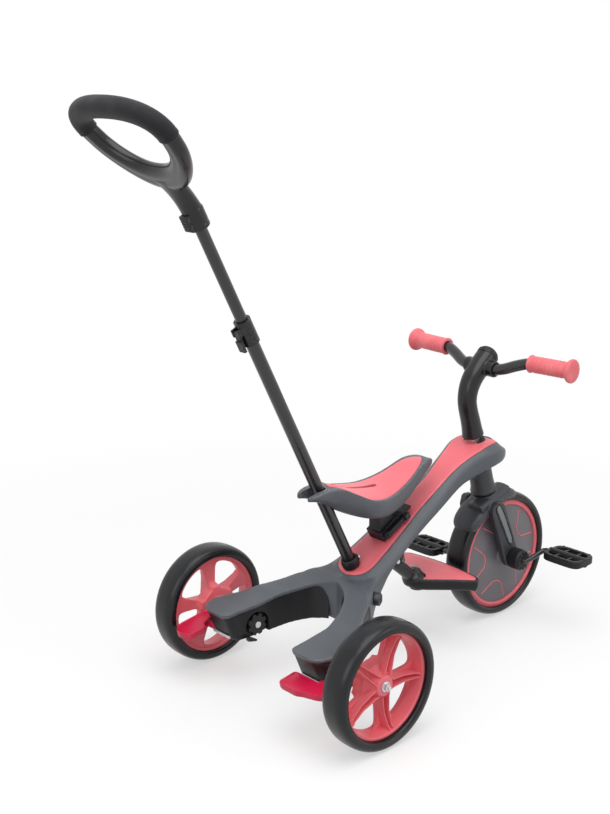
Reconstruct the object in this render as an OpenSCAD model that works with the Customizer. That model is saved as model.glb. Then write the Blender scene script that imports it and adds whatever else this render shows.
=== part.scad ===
/* [Wheels] */
// Radius of a rear tyre
rear_wheel_r = 108; // [107:0.5:109]
// Width of a rear tyre
rear_tyre_w = 50; // [47:0.5:51]
// Distance from the middle plane to the middle of a rear wheel
rear_wheel_y = 219; // [218:0.5:221]
// Radius of the front tyre
front_wheel_r = 125; // [124:0.25:126]
// Width of the front tyre
front_tyre_w = 49; // [46:0.5:50]
// Distance between the rear and the front axle
wheelbase = 547; // [546:0.5:548]
/* [Steering] */
// Backward lean of the steering axis, in degrees
steer_rake = 17.6; // [17.4:0.1:17.8]
// Radius of a handlebar tube
bar_r = 10.5; // [10:0.25:11]
// Radius of a handlebar grip
grip_r = 15.5; // [15:0.25:16.5]
/* [Pedals] */
// Distance from the front axle to a pedal's spindle
crank_r = 42; // [40:0.5:44]
// Angle of the right crank above the forward direction, in degrees
crank_turn = 28.4; // [26:0.2:31]
// Width of a pedal along its spindle
pedal_w = 84; // [80:1:86]
/* [Push pole] */
// Backward lean of the pole, in degrees
pole_rake = 27.3; // [27:0.1:27.5]
// Outer radius of the lower pole tube
pole_r = 11; // [11:0.25:11.5]
// Outer radius of the upper pole tube
upper_pole_r = 9.5; // [9.25:0.05:9.5]
// Lean of the handle's loop from the pole, in degrees
loop_lean = 17; // [16:0.5:19]
// Turn of the handle about the pole, in degrees
handle_turn = -1; // [-4:0.5:4]
/* [Seat and footrest] */
// Slope of the beam's top under the seat, in degrees
beam_slope = 29; // [28.8:0.1:29.2]
// Half width of the footrest tray
tray_half_w = 97; // [94:0.5:99]
/* [Hidden] */
$fn = 48;

// The modules work in a frame with its origin on the ground below the rear axle; X runs forward,
// Y to the rider's left. This moves the origin to the middle of the whole tricycle's length.
origin_x = 164.6;
// Wall of the moulded frame, and the gap round a part that is set into another
wall = 3.5;
gap = 0.3;
// Radial play of a running fit
play = 0.05;

// ---- Curves and lofts ----

// Index of the table row at or before x
function row(x, t, i = 0) = (i >= len(t) - 2 || x < t[i + 1][0]) ? i : row(x, t, i + 1);
// Slope of the smooth curve at table row i
function slope(t, i) =
  let (a = max(i - 1, 0), b = min(i + 1, len(t) - 1))
  (t[b][1] - t[a][1]) / (t[b][0] - t[a][0]);
// Smooth curve through the points [x, value] of table t
function curve(x, t) =
  let (
    i = row(x, t),
    w = t[i + 1][0] - t[i][0],
    u = min(max((x - t[i][0]) / w, 0), 1),
    p = t[i][1],
    q = t[i + 1][1]
  )
  p * (1 + 2 * u) * pow(1 - u, 2) + q * u * u * (3 - 2 * u)
  + slope(t, i) * w * u * pow(1 - u, 2) - slope(t, i + 1) * w * u * u * (1 - u);
// Signed power, for superellipses
function spow(v, n) = sign(v) * pow(abs(v), n);
// Point at angle a on a superellipse with half sizes p and q; n = 1 is an ellipse, less is squarer
function rounded(a, p, q, n) = [p * spow(cos(a), n), q * spow(sin(a), n)];

// Closed solid through rings of equally many points
module loft(rings) {
  n = len(rings[0]);
  m = len(rings);
  points = [for (r = rings) for (p = r) p];
  sides = [
    for (i = [0:m - 2]) for (j = [0:n - 1]) for (k = [0:1])
      k == 0 ? [i * n + j, i * n + (j + 1) % n, (i + 1) * n + (j + 1) % n]
             : [i * n + j, (i + 1) * n + (j + 1) % n, (i + 1) * n + j]
  ];
  ends = [[for (j = [n - 1:-1:0]) j], [for (j = [0:n - 1]) (m - 1) * n + j]];
  polyhedron(points, concat(ends, sides), convexity = 8);
}

// ---- Places ----

module place() { translate([-origin_x, 0, 0]) children(); }
module right() { mirror([0, 1, 0]) children(); }
// Turns a part that is built along Z so that it runs along Y, outwards on the left side
module along_y() { rotate([-90, 0, 0]) children(); }
// Frame of the steering axis: origin at the front axle, Z up the axis
module on_steering() {
  translate([wheelbase, 0, front_wheel_r]) rotate([0, -steer_rake, 0]) children();
}
// Frame of the pole: origin on the panel, Z up the pole, X forward
pole_foot = [147, 0, 208.6];
module on_pole() { translate(pole_foot) rotate([0, -pole_rake, 0]) children(); }
// Frame on the beam's top below the seat, X up the slope
slide_foot = [232, 0, 243.8];
module on_beam() { translate(slide_foot) rotate([0, -beam_slope, 0]) children(); }
module at_front_axle() { translate([wheelbase, 0, front_wheel_r]) children(); }

// ---- Frame ----

// Height of the beam's top, half width of the panel on it, and the beam's shoulder and bottom
beam_top = [[120, 187], [150, 201], [200, 226], [250, 254], [300, 283], [350, 310], [400, 342],
            [450, 365], [480, 371], [510, 366], [537, 350]];
panel_half = [[134, 1], [138, 17], [144, 27], [152, 34], [165, 37], [200, 34], [250, 29], [300, 24],
              [350, 22], [375, 23], [400, 27], [425, 32], [450, 38], [475, 39], [490, 35], [502, 26],
              [508, 16], [511, 3]];
shoulder_half = [[120, 82], [135, 70], [150, 62], [175, 56], [200, 53], [250, 47], [300, 41], [350, 37],
                 [375, 37], [400, 39], [425, 43], [450, 50], [475, 54], [495, 51], [510, 44], [522, 35],
                 [532, 22], [536, 9]];
shoulder_z = [[120, 168], [150, 184], [200, 210], [250, 239], [300, 268], [350, 297], [400, 331],
              [450, 354], [475, 358], [500, 356], [537, 344]];
beam_bottom = [[120, 106], [135, 116], [150, 135], [175, 164], [200, 190], [250, 222], [300, 246],
               [350, 270], [400, 300], [425, 309], [450, 318], [475, 324], [500, 327], [537, 331]];
panel_t = 4;
panel_x0 = 134;
panel_x1 = 511;
panel_stations = [134.4, 136, 138, 141, 145, 150, for (x = [156:6:486]) x, 491, 496, 501, 505, 508, 510.5];
beam_end = 536;
beam_stations = concat([122, 128, 134], panel_stations, [511.2, 516, 522, 527, 531, 534, beam_end]);

// Ring round the beam at x. in is the distance inside the outer skin, drop how far the floor is lowered
function beam_ring(x, in = 0, drop = 0) =
  let (
    s = max(curve(x, shoulder_half) - in, 0.5),
    z = curve(x, shoulder_z),
    on_panel = x > panel_x0 && x < panel_x1,
    p = min(on_panel ? curve(x, panel_half) : 1, s - 0.2),
    h = curve(x, beam_top) - 2 - in,
    d = on_panel ? panel_t : 0,
    b = curve(x, beam_bottom) - drop,
    half = [[p, h - d], [p, h], [s, min(z - in, h)], [s, b + (z - b) * 0.45], [s * 0.93, b + (z - b) * 0.18],
            [s * 0.78, b]]
  )
  concat([for (q = half) [x, q[0], q[1]]], [for (i = [len(half) - 1:-1:0]) [x, -half[i][0], half[i][1]]]);

// Plan and height of a rear arm, from its end forward to the beam
arm_outer = [[-73, 131], [-68, 143], [-60, 151], [-40, 158], [-20, 155], [0, 147.5], [20, 139], [40, 130],
             [60, 119], [80, 106], [100, 94], [120, 82], [150, 62], [190, 52]];
arm_inner = [[-73, 92], [-66, 84], [-40, 82], [0, 78], [20, 76.6], [40, 71], [60, 63], [80, 50], [95, 38],
             [106, 22], [112, 8], [116, -1.7], [150, -1.7], [190, -1.7]];
arm_top = [[-73, 143], [-40, 146], [0, 149], [20, 152], [40, 158], [60, 162], [80, 168], [100, 175],
           [120, 184], [134, 186.5], [150, 192], [190, 211]];
arm_bottom = [[-73, 92], [-60, 86], [-40, 85], [0, 85], [35, 91], [80, 101], [110, 106], [130, 112],
              [150, 134], [175, 164], [190, 180]];
arm_stations = [for (x = [-73, -71, -68, -64, -60]) x, for (x = [-52:8:188]) x];

// How far a point of the arm at height z is moved forward, so that the arm's end slants under its deck
end_lean = 0.43;
function lean(x, z, top) = end_lean * (top - z) * min(max((-20 - x) / 40, 0), 1);
// Ring round the left arm at x: a rounded box, leaning inwards at its outer shoulder
function arm_ring(x, in = 0, drop = 0) =
  let (
    o = curve(x, arm_outer) - in,
    i = curve(x, arm_inner) + (x < 114 ? in : 0),
    t = curve(x, arm_top) - in,
    b = curve(x, arm_bottom) - drop,
    w = o - i,
    r = min(9, w * 0.2)
  )
  [for (q = [[i, b], [i, t - 5], [i + 4, t], [o - w * 0.34, t], [o - w * 0.16, t - (t - b) * 0.08],
             [o - w * 0.04, t - (t - b) * 0.24], [o, t - (t - b) * 0.46], [o - w * 0.01, b + (t - b) * 0.25],
             [o - w * 0.05, b + (t - b) * 0.08], [o - r, b]]) [x + lean(x, q[1], t), q[0], q[1]]];

module frame_solid(in = 0, drop = 0) {
  loft([for (x = beam_stations) if (x > 122 + in && x < beam_end - in) beam_ring(x, in, drop)]);
  for (side = [0, 1]) mirror([0, side, 0])
    loft([for (x = arm_stations) if (x > -74 + in && x < 190 - in) arm_ring(x, in, drop)]);
}

// Brake pocket, brake disc recess and the walls beside them, on the left arm
disc_y0 = 80;
disc_t = 8;
recess_y = 90;
brake_pivot = [-52, 0, 95];
module brake_cuts() {
  translate([-82, 100, 78]) cube([40, 30, 27]);
  translate([-82, 66, 78]) cube([108, recess_y - 66, 20]);
  translate([-24, 66, 80]) cube([48, recess_y - 66, 30]);
  translate([0, 66, rear_wheel_r]) along_y() cylinder(r = 24, h = recess_y - 66);
}
module brake_walls() {
  for (wall_at = [[recess_y, 26, 148], [96.5, -40, 142.5], [130, -40, 141.5]])
    translate([0, wall_at[0] + wall, 0]) rotate([90, 0, 0]) linear_extrude(wall)
      polygon([[-61, 85.5], [wall_at[1], 85.5], [wall_at[1], wall_at[2]],
               [min(-30, wall_at[1] - 5), min(wall_at[2], 145)], [-61, 141.5]]);
}

head_r = 23;
head_low = 144;
head_high = 242;
socket_r = 15;
socket_low = -38;
socket_flange_r = 16.2;
knob_at = [140, -79, 166];
module knob_frame() { translate(knob_at) rotate([90, 0, 30]) children(); }

module frame_shell() {
  color([0.38, 0.4, 0.42])
  difference() {
    frame_solid();
    frame_solid(wall, 20);
    for (side = [0, 1]) mirror([0, side, 0]) brake_cuts();
    on_steering() translate([0, 0, head_low - 10]) cylinder(r = head_r, h = 140);
    on_pole() translate([0, 0, socket_low]) cylinder(r = socket_r, h = 80);
    for (side = [0, 1]) mirror([0, side, 0]) {
      translate([0, 60, rear_wheel_r]) along_y() cylinder(r = 11, h = 110);
      translate([brake_pivot[0], 129, brake_pivot[2]]) along_y() cylinder(r = trunnion_r + 1, h = 40);
      translate([-82, 100, 78]) cube([40, 31.5, 27]);
    }
    knob_frame() translate([0, 0, -14]) cylinder(r = 12, h = 40);
  }
}

// Walls beside the brakes and the ring round the head tube, inside the shell
module frame_ribs() {
  color([0.36, 0.38, 0.4])
  difference() {
    union() {
      for (side = [0, 1]) mirror([0, side, 0]) brake_walls();
      on_steering() translate([0, 0, 196]) cylinder(r = head_r + wall, h = 38);
    }
    on_steering() translate([0, 0, head_low - 10]) cylinder(r = head_r, h = 140);
    for (side = [0, 1]) mirror([0, side, 0]) {
      translate([0, 60, rear_wheel_r]) along_y() cylinder(r = 11, h = 110);
      translate([brake_pivot[0], 93.7, brake_pivot[2]]) along_y() cylinder(r = 3, h = 10);
      translate([brake_pivot[0], 129, brake_pivot[2]]) along_y() cylinder(r = trunnion_r + play, h = 40);
    }
  }
}

// Bottom covers: a plate under the beam and one under each arm, set inside the walls
module frame_base() {
  plate = 3;
  color([0.38, 0.4, 0.42])
  difference() {
    union() {
      loft([for (x = beam_stations) if (x > 150 && x < 525)
        let (w = (curve(x, shoulder_half) - wall) * 0.78 - gap, b = curve(x, beam_bottom))
        [[x, -w, b], [x, -w, b + plate], [x, w, b + plate], [x, w, b]]]);
      for (side = [0, 1]) mirror([0, side, 0])
        loft([for (x = arm_stations) if (x > -44 && x < 152)
          let (
            i = max(curve(x, arm_inner) + (x < 114 ? wall + gap : 0), -1),
            o = curve(x, arm_outer) - wall - 9 - gap,
            b = curve(x, arm_bottom)
          )
          [[x, i, b], [x, i, b + plate], [x, o, b + plate], [x, o, b]]]);
    }
    for (side = [0, 1]) mirror([0, side, 0]) {
      brake_cuts();
      translate([-83, 66, 78]) cube([45, 70, 27]);
    }
    on_steering() translate([0, 0, head_low - 10]) cylinder(r = head_r + wall, h = 140);
    on_pole() translate([0, 0, socket_low]) cylinder(r = socket_r, h = 80);
  }
}

// Coral panel let into the beam's top
module top_panel() {
  color([0.91, 0.49, 0.5])
  difference() {
    loft([for (x = panel_stations)
      let (
        p = max(min(curve(x, panel_half), curve(x, shoulder_half) - 0.2) - gap, 0.6),
        h = curve(x, beam_top)
      )
      [[x, -p, h - 2 - panel_t], [x, -p, h - 2], [x, -p * 0.85, h - 1], [x, -p * 0.5, h - 0.3], [x, 0, h],
       [x, p * 0.5, h - 0.3], [x, p * 0.85, h - 1], [x, p, h - 2], [x, p, h - 2 - panel_t]]]);
    on_steering() translate([0, 0, 230]) cylinder(r = 20, h = 40);
    on_pole() translate([0, 0, -20]) cylinder(r = socket_flange_r, h = 60);
  }
}

module head_tube() {
  color([0.3, 0.31, 0.33])
  on_steering() translate([0, 0, head_low]) difference() {
    cylinder(r = head_r, h = head_high - head_low);
    translate([0, 0, -1]) cylinder(r = 15, h = head_high - head_low + 2);
  }
}

steerer_r = 12.4;
bush_flange_r = 19.5;
module head_bushes() {
  color([0.85, 0.86, 0.85])
  on_steering() difference() {
    union() {
      translate([0, 0, head_low - 5]) cylinder(r = 25, h = 5);
      translate([0, 0, head_low - 5]) cylinder(r = 15, h = 25);
      translate([0, 0, head_high - 20]) cylinder(r = 15, h = 24);
      translate([0, 0, head_high]) cylinder(r = bush_flange_r, h = 16);
    }
    translate([0, 0, head_low - 10]) cylinder(r = steerer_r + play, h = 150);
  }
}

// Socket of the pole, with a boss for its release button
button_at = 5;
button_side = -35;
module button_frame() {
  on_pole() translate([0, 0, button_at]) rotate([0, 0, button_side]) rotate([0, 90, 0]) children();
}
module pole_socket() {
  color([0.1, 0.1, 0.11])
  difference() {
    union() {
      on_pole() translate([0, 0, socket_low]) cylinder(r = socket_r, h = 50);
      on_pole() translate([0, 0, -2]) cylinder(r = socket_flange_r, h = 14);
      button_frame() translate([0, 0, 10]) cylinder(r = 6.5, h = 7);
    }
    on_pole() translate([0, 0, socket_low + 3]) cylinder(r = pole_r, h = 60);
    button_frame() translate([0, 0, 5]) cylinder(r = 4 + play, h = 30);
  }
}
module pole_button() {
  color([0.75, 0.76, 0.77])
  button_frame() translate([0, 0, 13.7]) cylinder(r = 4, h = 6);
}

// Half-round release knob in the right flank of the beam
module release_knob() {
  color([0.16, 0.17, 0.18])
  knob_frame() {
    translate([0, 0, -10]) cylinder(r = 11.9, h = 11);
    translate([0, 0, 1]) cylinder(r1 = 11.9, r2 = 9, h = 2);
  }
}

// ---- Seat slide ----

rail_back = -20;
rail_len = 88;
block_back = -21;
block_len = 60;
module seat_rail() {
  color([0.12, 0.12, 0.13])
  on_beam() {
    translate([rail_back, -4, -1]) cube([rail_len, 8, 6]);
    translate([rail_back, -10, 4.5]) cube([rail_len, 20, 4]);
  }
}
latch_pin_x = -12;
latch_tip_x = 34;
latch_pin_z = 12.5;
block_half_w = 18;
// Pillar between the slide block and the saddle's floor
module seat_post() {
  translate([206, -14, 252]) cube([30, 28, 47]);
}
module seat_block() {
  color([0.08, 0.08, 0.09])
  difference() {
    union() {
      on_beam() translate([block_back, -block_half_w, 1.5]) cube([block_len, 2 * block_half_w, 20.5]);
      seat_post();
      on_beam() translate([latch_pin_x, -28, latch_pin_z]) along_y() cylinder(r = 2.5, h = 12);
    }
    on_beam() {
      translate([-90, -4 - gap, -30]) cube([180, 8 + 2 * gap, 38]);
      translate([-90, -10 - gap, 4.5 - gap]) cube([180, 20 + 2 * gap, 4 + 2 * gap]);
    }
  }
}
module seat_latch() {
  color([0.05, 0.05, 0.06])
  on_beam() difference() {
    union() {
      translate([latch_pin_x, -26, latch_pin_z]) along_y() cylinder(r = 6, h = 7);
      translate([latch_pin_x, -26, 8]) cube([latch_tip_x - latch_pin_x + 2, 7, 8.5]);
      translate([latch_tip_x, -30, 7]) cube([12, 11, 11]);
    }
    translate([latch_pin_x, -40, latch_pin_z]) along_y() cylinder(r = 2.5 + play, h = 30);
  }
}

// ---- Seat ----

seat_half = [[28, 3], [34, 14], [46, 23], [70, 27], [90, 29], [110, 41], [128, 57], [148, 65], [170, 63],
             [200, 54], [240, 43], [280, 33], [310, 26], [330, 18], [343, 10], [350, 1.5]];
seat_edge = [[28, 355], [60, 362], [100, 361], [120, 351], [140, 341], [170, 335], [200, 333], [230, 337],
             [260, 346], [300, 363], [325, 366], [342, 361], [350, 352]];
seat_floor = [[28, 349], [52, 345], [80, 332], [110, 314], [140, 301], [170, 292], [200, 288], [226, 291],
              [250, 298], [277, 312], [310, 334], [335, 345], [350, 350]];
pad_half = [[90, 3], [100, 13], [120, 35], [135, 51], [150, 57.5], [170, 55.5], [200, 47], [240, 37],
            [280, 27.5], [300, 20], [314, 11], [321, 2]];
seat_stations = [28, 30, 34, 40, for (x = [48:8:328]) x, 335, 341, 346, 349, 350];
// Ring round the saddle at x: flat top, sides that tuck in below. in insets it and lowers its top
function seat_ring(x, in = 0, drop = 0) =
  let (
    w = max(curve(x, seat_half) - in, 0.8),
    t = curve(x, seat_edge) - drop,
    b = min(curve(x, seat_floor) + in, t - 1)
  )
  concat([[x, -w + min(2, w * 0.3), t], [x, w - min(2, w * 0.3), t], [x, w, t - (t - b) * 0.06]],
         [for (a = [0:15:180])
           [x, w * 0.995 * spow(cos(a), 0.62), b + (t - b) * 0.86 * (1 - spow(sin(a), 0.62))]],
         [[x, -w, t - (t - b) * 0.06]]);
// The pole's path through the saddle's tail: open to the rear, so that the saddle can slide forward
module tail_notch() {
  on_pole() {
    translate([0, 0, 110]) cylinder(r = pole_r + 1.8, h = 100);
    translate([-70, -pole_r - 1.8, 110]) cube([70, 2 * pole_r + 3.6, 100]);
  }
}
// Height of the pad's crown over its edge, as a share of its half width
pad_crown = 0.13;
module pad_solid(in = 0, lift = 0) {
  loft([for (x = [90.5, 93, for (v = [98:8:314]) v, 318, 320.5])
    let (
      w = max(curve(x, pad_half) - in, 0.6),
      t = curve(x, seat_edge),
      h = t + lift,
      c = pad_crown * w
    )
    [[x, -w, t - 4], [x, -w, h - 0.5], [x, -w * 0.7, h + c * 0.5], [x, 0, h + c], [x, w * 0.7, h + c * 0.5],
     [x, w, h - 0.5], [x, w, t - 4]]]);
}
module seat_shell() {
  color([0.4, 0.42, 0.44])
  difference() {
    loft([for (x = seat_stations) seat_ring(x)]);
    difference() {
      loft([for (x = seat_stations) if (x > 90 && x < 330) seat_ring(x, 4, 7)]);
      translate([200, -20, 250]) cube([42, 40, 100]);
    }
    pad_solid(0, 10);
    tail_notch();
    seat_post();
  }
}
// Edge of the slim slot along the pad's middle, wider to the front: i from 0 to 12 along it, side 1 or -1
function slot_point(i, side) = [101 + i * 8.8, side * (i < 12 ? 0.8 + i * 0.3 : 2.2)];
module seat_pad() {
  color([0.91, 0.49, 0.5])
  difference() {
    pad_solid(0.25);
    translate([0, 0, 300]) linear_extrude(80) polygon([
      for (i = [0:12]) slot_point(i, 1),
      for (i = [12:-1:0]) slot_point(i, -1)
    ]);
  }
}

// ---- Rear wheels and brakes (built for the left side) ----

// Half outline of a tyre: bulging tread, flat foot on the rim
function tyre_profile(r, foot, w) = concat(
  [[foot, -w * 0.36]],
  [for (a = [0:12:180]) [foot + 4 + (r - foot - 4) * spow(sin(a), 0.62), -w / 2 * spow(cos(a), 0.7)]],
  [[foot, w * 0.36]]
);
rear_foot_r = 89;
hub_r = 16;
axle_r = 6;
module at_rear_wheel() { translate([0, rear_wheel_y, rear_wheel_r]) along_y() children(); }
module rear_tyre() {
  color([0.13, 0.13, 0.15])
  at_rear_wheel() rotate_extrude($fn = 96) polygon(tyre_profile(rear_wheel_r, rear_foot_r, rear_tyre_w));
}
// Coral wheel body: barrel, web with five fan-shaped windows, a pair of ribs on each spoke and a long hub
window_in = 33;
window_out = 80;
window_arc = 50;
window_turn_left = 60;
window_turn_right = 30;
module rear_rim(window_turn) {
  color([0.91, 0.5, 0.51])
  at_rear_wheel() difference() {
    union() {
      rotate_extrude($fn = 96) polygon([
        [axle_r, -62], [hub_r, -62], [hub_r, -29], [38, -27], [40, -15.5], [82, -14], [84, -19],
        [rear_foot_r, -19], [rear_foot_r, 15], [84, 15], [81, -3], [79, -5], [30, -5], [21, 4], [18, 13],
        [axle_r, 13]
      ]);
      for (k = [0:4]) rotate([0, 0, 72 * k + 36 - window_turn]) for (side = [-1, 1])
        translate([18, side * 5 - 1.5, -6]) cube([64, 3, 18]);
    }
    for (k = [0:4]) rotate([0, 0, 72 * k - window_turn - window_arc / 2])
      rotate_extrude(angle = window_arc, $fn = 96)
        translate([window_in, -17]) square([window_out - window_in, 30]);
  }
}
module rear_axle() {
  color("silver")
  translate([0, 78, rear_wheel_r]) along_y() cylinder(r = axle_r, h = rear_wheel_y + 11 - 78);
}
module wheel_bolt() {
  color("silver")
  translate([0, rear_wheel_y + 13, rear_wheel_r]) along_y() {
    cylinder(r = 9, h = 2);
    cylinder(r = 6.5, h = 6.5, $fn = 6);
  }
}
// Lobed disc on the axle's inner end; the brake's tooth locks into one of its notches
module brake_disc() {
  color([0.1, 0.1, 0.11])
  translate([0, disc_y0, rear_wheel_r]) along_y() difference() {
    cylinder(r = 20, h = disc_t);
    translate([0, 0, -1]) cylinder(r = axle_r, h = disc_t + 2);
    for (k = [0:7]) rotate([0, 0, 45 * k]) translate([20, 0, -1]) cylinder(r = 4, h = disc_t + 2);
  }
}
// Bearing tube of the axle through the arm, with a flange outside
module axle_housing() {
  translate([0, recess_y + wall, rear_wheel_r]) along_y() difference() {
    union() {
      cylinder(r = 11, h = 63.2);
      translate([0, 0, 60.7]) cylinder(r = 15, h = 2.5);
    }
    translate([0, 0, -1]) cylinder(r = axle_r + play, h = 70);
  }
}
module axle_housings() {
  color([0.14, 0.14, 0.15]) {
    axle_housing();
    right() axle_housing();
  }
}
module brake_pin() {
  translate([brake_pivot[0], 94, brake_pivot[2]]) along_y() cylinder(r = 3, h = 42);
}
module brake_pins() {
  color("silver") {
    brake_pin();
    right() brake_pin();
  }
}
// Red foot lever: a sloping pedal plate beside the arm's end, trunnion in the arm's pocket, tooth finger
trunnion_r = 6;
pedal_slope = 9;
left_plate = [[28, 36], [-38, 36], [-51, 28], [-58, 13], [-51, -10], [-45, -13], [-14, -13], [-12, -1],
              [10, 9], [28, 9]];
right_plate = [[28, 36], [-30, 36], [-40, 20], [-47, -8], [-52, -17], [-52, -52], [-48, -61], [-12, -61],
               [-12, -1], [10, 9], [28, 9]];
module brake_lever(plate) {
  color([0.8, 0.05, 0.27])
  difference() {
    union() {
      translate([brake_pivot[0], 152, 100]) rotate([0, -pedal_slope, 0]) linear_extrude(6) polygon(plate);
      translate([brake_pivot[0], 101, brake_pivot[2]]) along_y() cylinder(r = trunnion_r, h = 69);
      translate([brake_pivot[0] - 6, 159.5, brake_pivot[2]]) cube([12, 12, 9]);
      translate([0, 147, 0]) rotate([90, 0, 0]) linear_extrude(8)
        polygon([[-98, 94], [-62, 79.5], [-62, 85.5], [-74, 95], [-98, 97]]);
      translate([-71, disc_y0, 79.5]) cube([9, 66, 6]);
      translate([0, disc_y0 + disc_t, 0]) rotate([90, 0, 0]) linear_extrude(disc_t)
        polygon([[-71, 79.5], [-71, 85.5], [-58, 85.5], [-3, 82.2], [-2, 77.6], [-62, 79.5]]);
      translate([-1.9, disc_y0, 80.1]) along_y() cylinder(r = 2.5, h = disc_t);
    }
    translate([brake_pivot[0], 90, brake_pivot[2]]) along_y() cylinder(r = 3 + play, h = 50);
  }
}

// ---- Steering ----

leg_in = 29.5;
leg_out = 43;
crown_top = 138.5;
guard_r = 133;
module fork() {
  color([0.4, 0.42, 0.44])
  on_steering() difference() {
    union() {
      for (side = [0, 1]) mirror([0, side, 0]) translate([0, leg_in, 0]) along_y() hull() {
        cylinder(r = 20, h = leg_out - leg_in, $fn = 32);
        translate([-11, -112, 0]) cylinder(r = 19, h = leg_out - leg_in, $fn = 32);
      }
      translate([-30, -leg_out, 112]) cube([38, 2 * leg_out, crown_top - 112]);
    }
    translate([0, -leg_in, 0]) along_y() cylinder(r = guard_r, h = 2 * leg_in, $fn = 96);
    translate([0, -60, 0]) along_y() cylinder(r = 8, h = 120);
    translate([0, 0, 100]) cylinder(r = steerer_r, h = 60);
  }
}
// Mudguard over the front tyre, held between the fork's legs, from one angle above forward to the other
guard_from = 74;
guard_to = 146;
module mudguard() {
  color([0.3, 0.31, 0.33])
  at_front_axle() along_y() rotate([0, 0, -guard_to])
    rotate_extrude(angle = guard_to - guard_from, $fn = 96) polygon([
      [118, -28], [129, -28], [guard_r, -23], [guard_r, 23], [129, 28], [118, 28],
      [118, 26.3], [128.5, 26.3], [130.5, 22], [130.5, -22], [128.5, -26.3], [118, -26.3]
    ]);
}
steerer_end = 300;
// Height of the stem's lower end along the steering axis
stem_foot = 259;
module steerer() {
  color("silver")
  on_steering() translate([0, 0, guard_r + 1]) cylinder(r = steerer_r, h = steerer_end - guard_r - 1);
}
// Paler panels let onto the outside of the fork's legs
module fork_inlays() {
  color([0.62, 0.63, 0.64])
  on_steering() for (side = [0, 1]) mirror([0, side, 0])
    translate([0, leg_out + 1.2, 0]) rotate([90, 0, 0]) linear_extrude(1.2)
      polygon([[-22, 126], [-5, 129], [2, 100], [12, 36], [8, 28], [0, 28], [-6, 36], [-20, 110]]);
}
module fork_bushes() {
  color([0.85, 0.86, 0.85])
  on_steering() for (side = [0, 1]) mirror([0, side, 0])
    translate([0, leg_in - 1, 0]) along_y() difference() {
      cylinder(r = 8, h = leg_out - leg_in + 2);
      translate([0, 0, -1]) cylinder(r = 5 + play, h = 30);
    }
}

// Stem: centre line from the head up to the cap, then half width and half depth along it
stem_x = [[0, 467], [0.2, 459], [0.45, 447], [0.6, 448], [0.75, 458], [0.9, 479], [1, 499]];
stem_z = [[0, 377.5], [0.2, 405], [0.45, 444], [0.6, 467], [0.75, 489], [0.9, 511], [1, 527]];
stem_w = [[0, 20], [0.15, 18.5], [0.5, 18], [0.8, 19.5], [1, 20.5]];
stem_d = [[0, 20], [0.15, 17.5], [0.5, 16], [0.8, 18], [1, 19.5]];
function stem_at(t) = [curve(t, stem_x), 0, curve(t, stem_z)];
function stem_dir(t) =
  t < 0.02 ? [-sin(steer_rake), 0, cos(steer_rake)]
           : let (d = stem_at(min(t + 0.01, 1)) - stem_at(t - 0.01)) d / norm(d);
bar_mid = [484, 0, 509];
bar_bend = [501, 97, 529];
bar_end = [508, 187, 529];
module rod(a, b, r) {
  d = b - a;
  translate(a) rotate([0, acos(d[2] / norm(d)), atan2(d[1], d[0])]) cylinder(r = r, h = norm(d));
}
// Tube of the handlebar: a straight middle and two bent ends, with a swelling at each bend
bar_knee = [484, 38, 509];
swell = 0.3;
module bar_run(r, beyond = 0) {
  rod(bar_mid - [0, 38, 0], bar_knee, r);
  for (side = [0, 1]) mirror([0, side, 0]) {
    translate(bar_knee) sphere(r + swell);
    rod(bar_knee, bar_bend, r);
    translate(bar_bend) sphere(r + swell);
    rod(bar_bend, bar_end + [0, beyond - 3, 0], r);
  }
}
module stem() {
  color([0.1, 0.1, 0.11])
  difference() {
    union() {
      loft([for (t = [0:0.05:1])
        let (p = stem_at(t), d = stem_dir(t))
        [for (a = [0:15:345])
          let (q = rounded(-a, curve(t, stem_w), curve(t, stem_d), 0.85))
          p + [-d[2] * q[1], q[0], d[0] * q[1]]]]);
      rod(bar_mid - [0, 34, 0], bar_mid + [0, 34, 0], 15);
    }
    on_steering() translate([0, 0, 240]) cylinder(r = steerer_r, h = steerer_end - 240);
    on_steering() translate([0, 0, 240]) cylinder(r = 40, h = stem_foot - 240);
    rod(bar_mid - [0, 50, 0], bar_mid + [0, 50, 0], bar_r);
  }
}
module stem_cap() {
  color([0.06, 0.06, 0.07])
  difference() {
    translate([499.5, 0, 527.5]) rotate([0, 52, 0]) {
      cylinder(r = 21, h = 6);
      translate([0, 0, 6]) cylinder(r1 = 21, r2 = 15, h = 7);
    }
    bar_run(bar_r + 0.1);
  }
}
module handlebar() {
  color([0.08, 0.08, 0.09])
  difference() {
    bar_run(bar_r);
    bar_run(bar_r - 1.6, 5);
  }
}
grip_len = 90;
module grip() {
  d = bar_end - bar_bend;
  color([0.92, 0.5, 0.51])
  translate(bar_bend) rotate([0, acos(d[2] / norm(d)), atan2(d[1], d[0])]) difference() {
    rotate_extrude() polygon([
      [0, 3], [grip_r, 3], [grip_r, 4.5], [grip_r - 1.5, 6], [grip_r, 12], [grip_r, grip_len - 10],
      [19, grip_len - 5], [22, grip_len - 2], [22, grip_len + 2], [20, grip_len + 4], [0, grip_len + 5]
    ]);
    translate([0, 0, -5]) cylinder(r = bar_r, h = norm(d) + 5 - 2.9);
  }
}

// ---- Front wheel, cranks and pedals ----

front_foot_r = 109;
disc_r = 99;
front_axle_r = 5;
module front_tyre() {
  color([0.13, 0.13, 0.15])
  at_front_axle() along_y() rotate_extrude($fn = 96)
    polygon(tyre_profile(front_wheel_r, front_foot_r, front_tyre_w));
}
module front_ring() {
  color([0.91, 0.5, 0.51])
  at_front_axle() along_y() rotate_extrude($fn = 96) polygon([
    [disc_r, -17], [disc_r + 2, -19], [front_foot_r, -17], [front_foot_r, 17], [disc_r + 2, 19], [disc_r, 17]
  ]);
}
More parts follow.
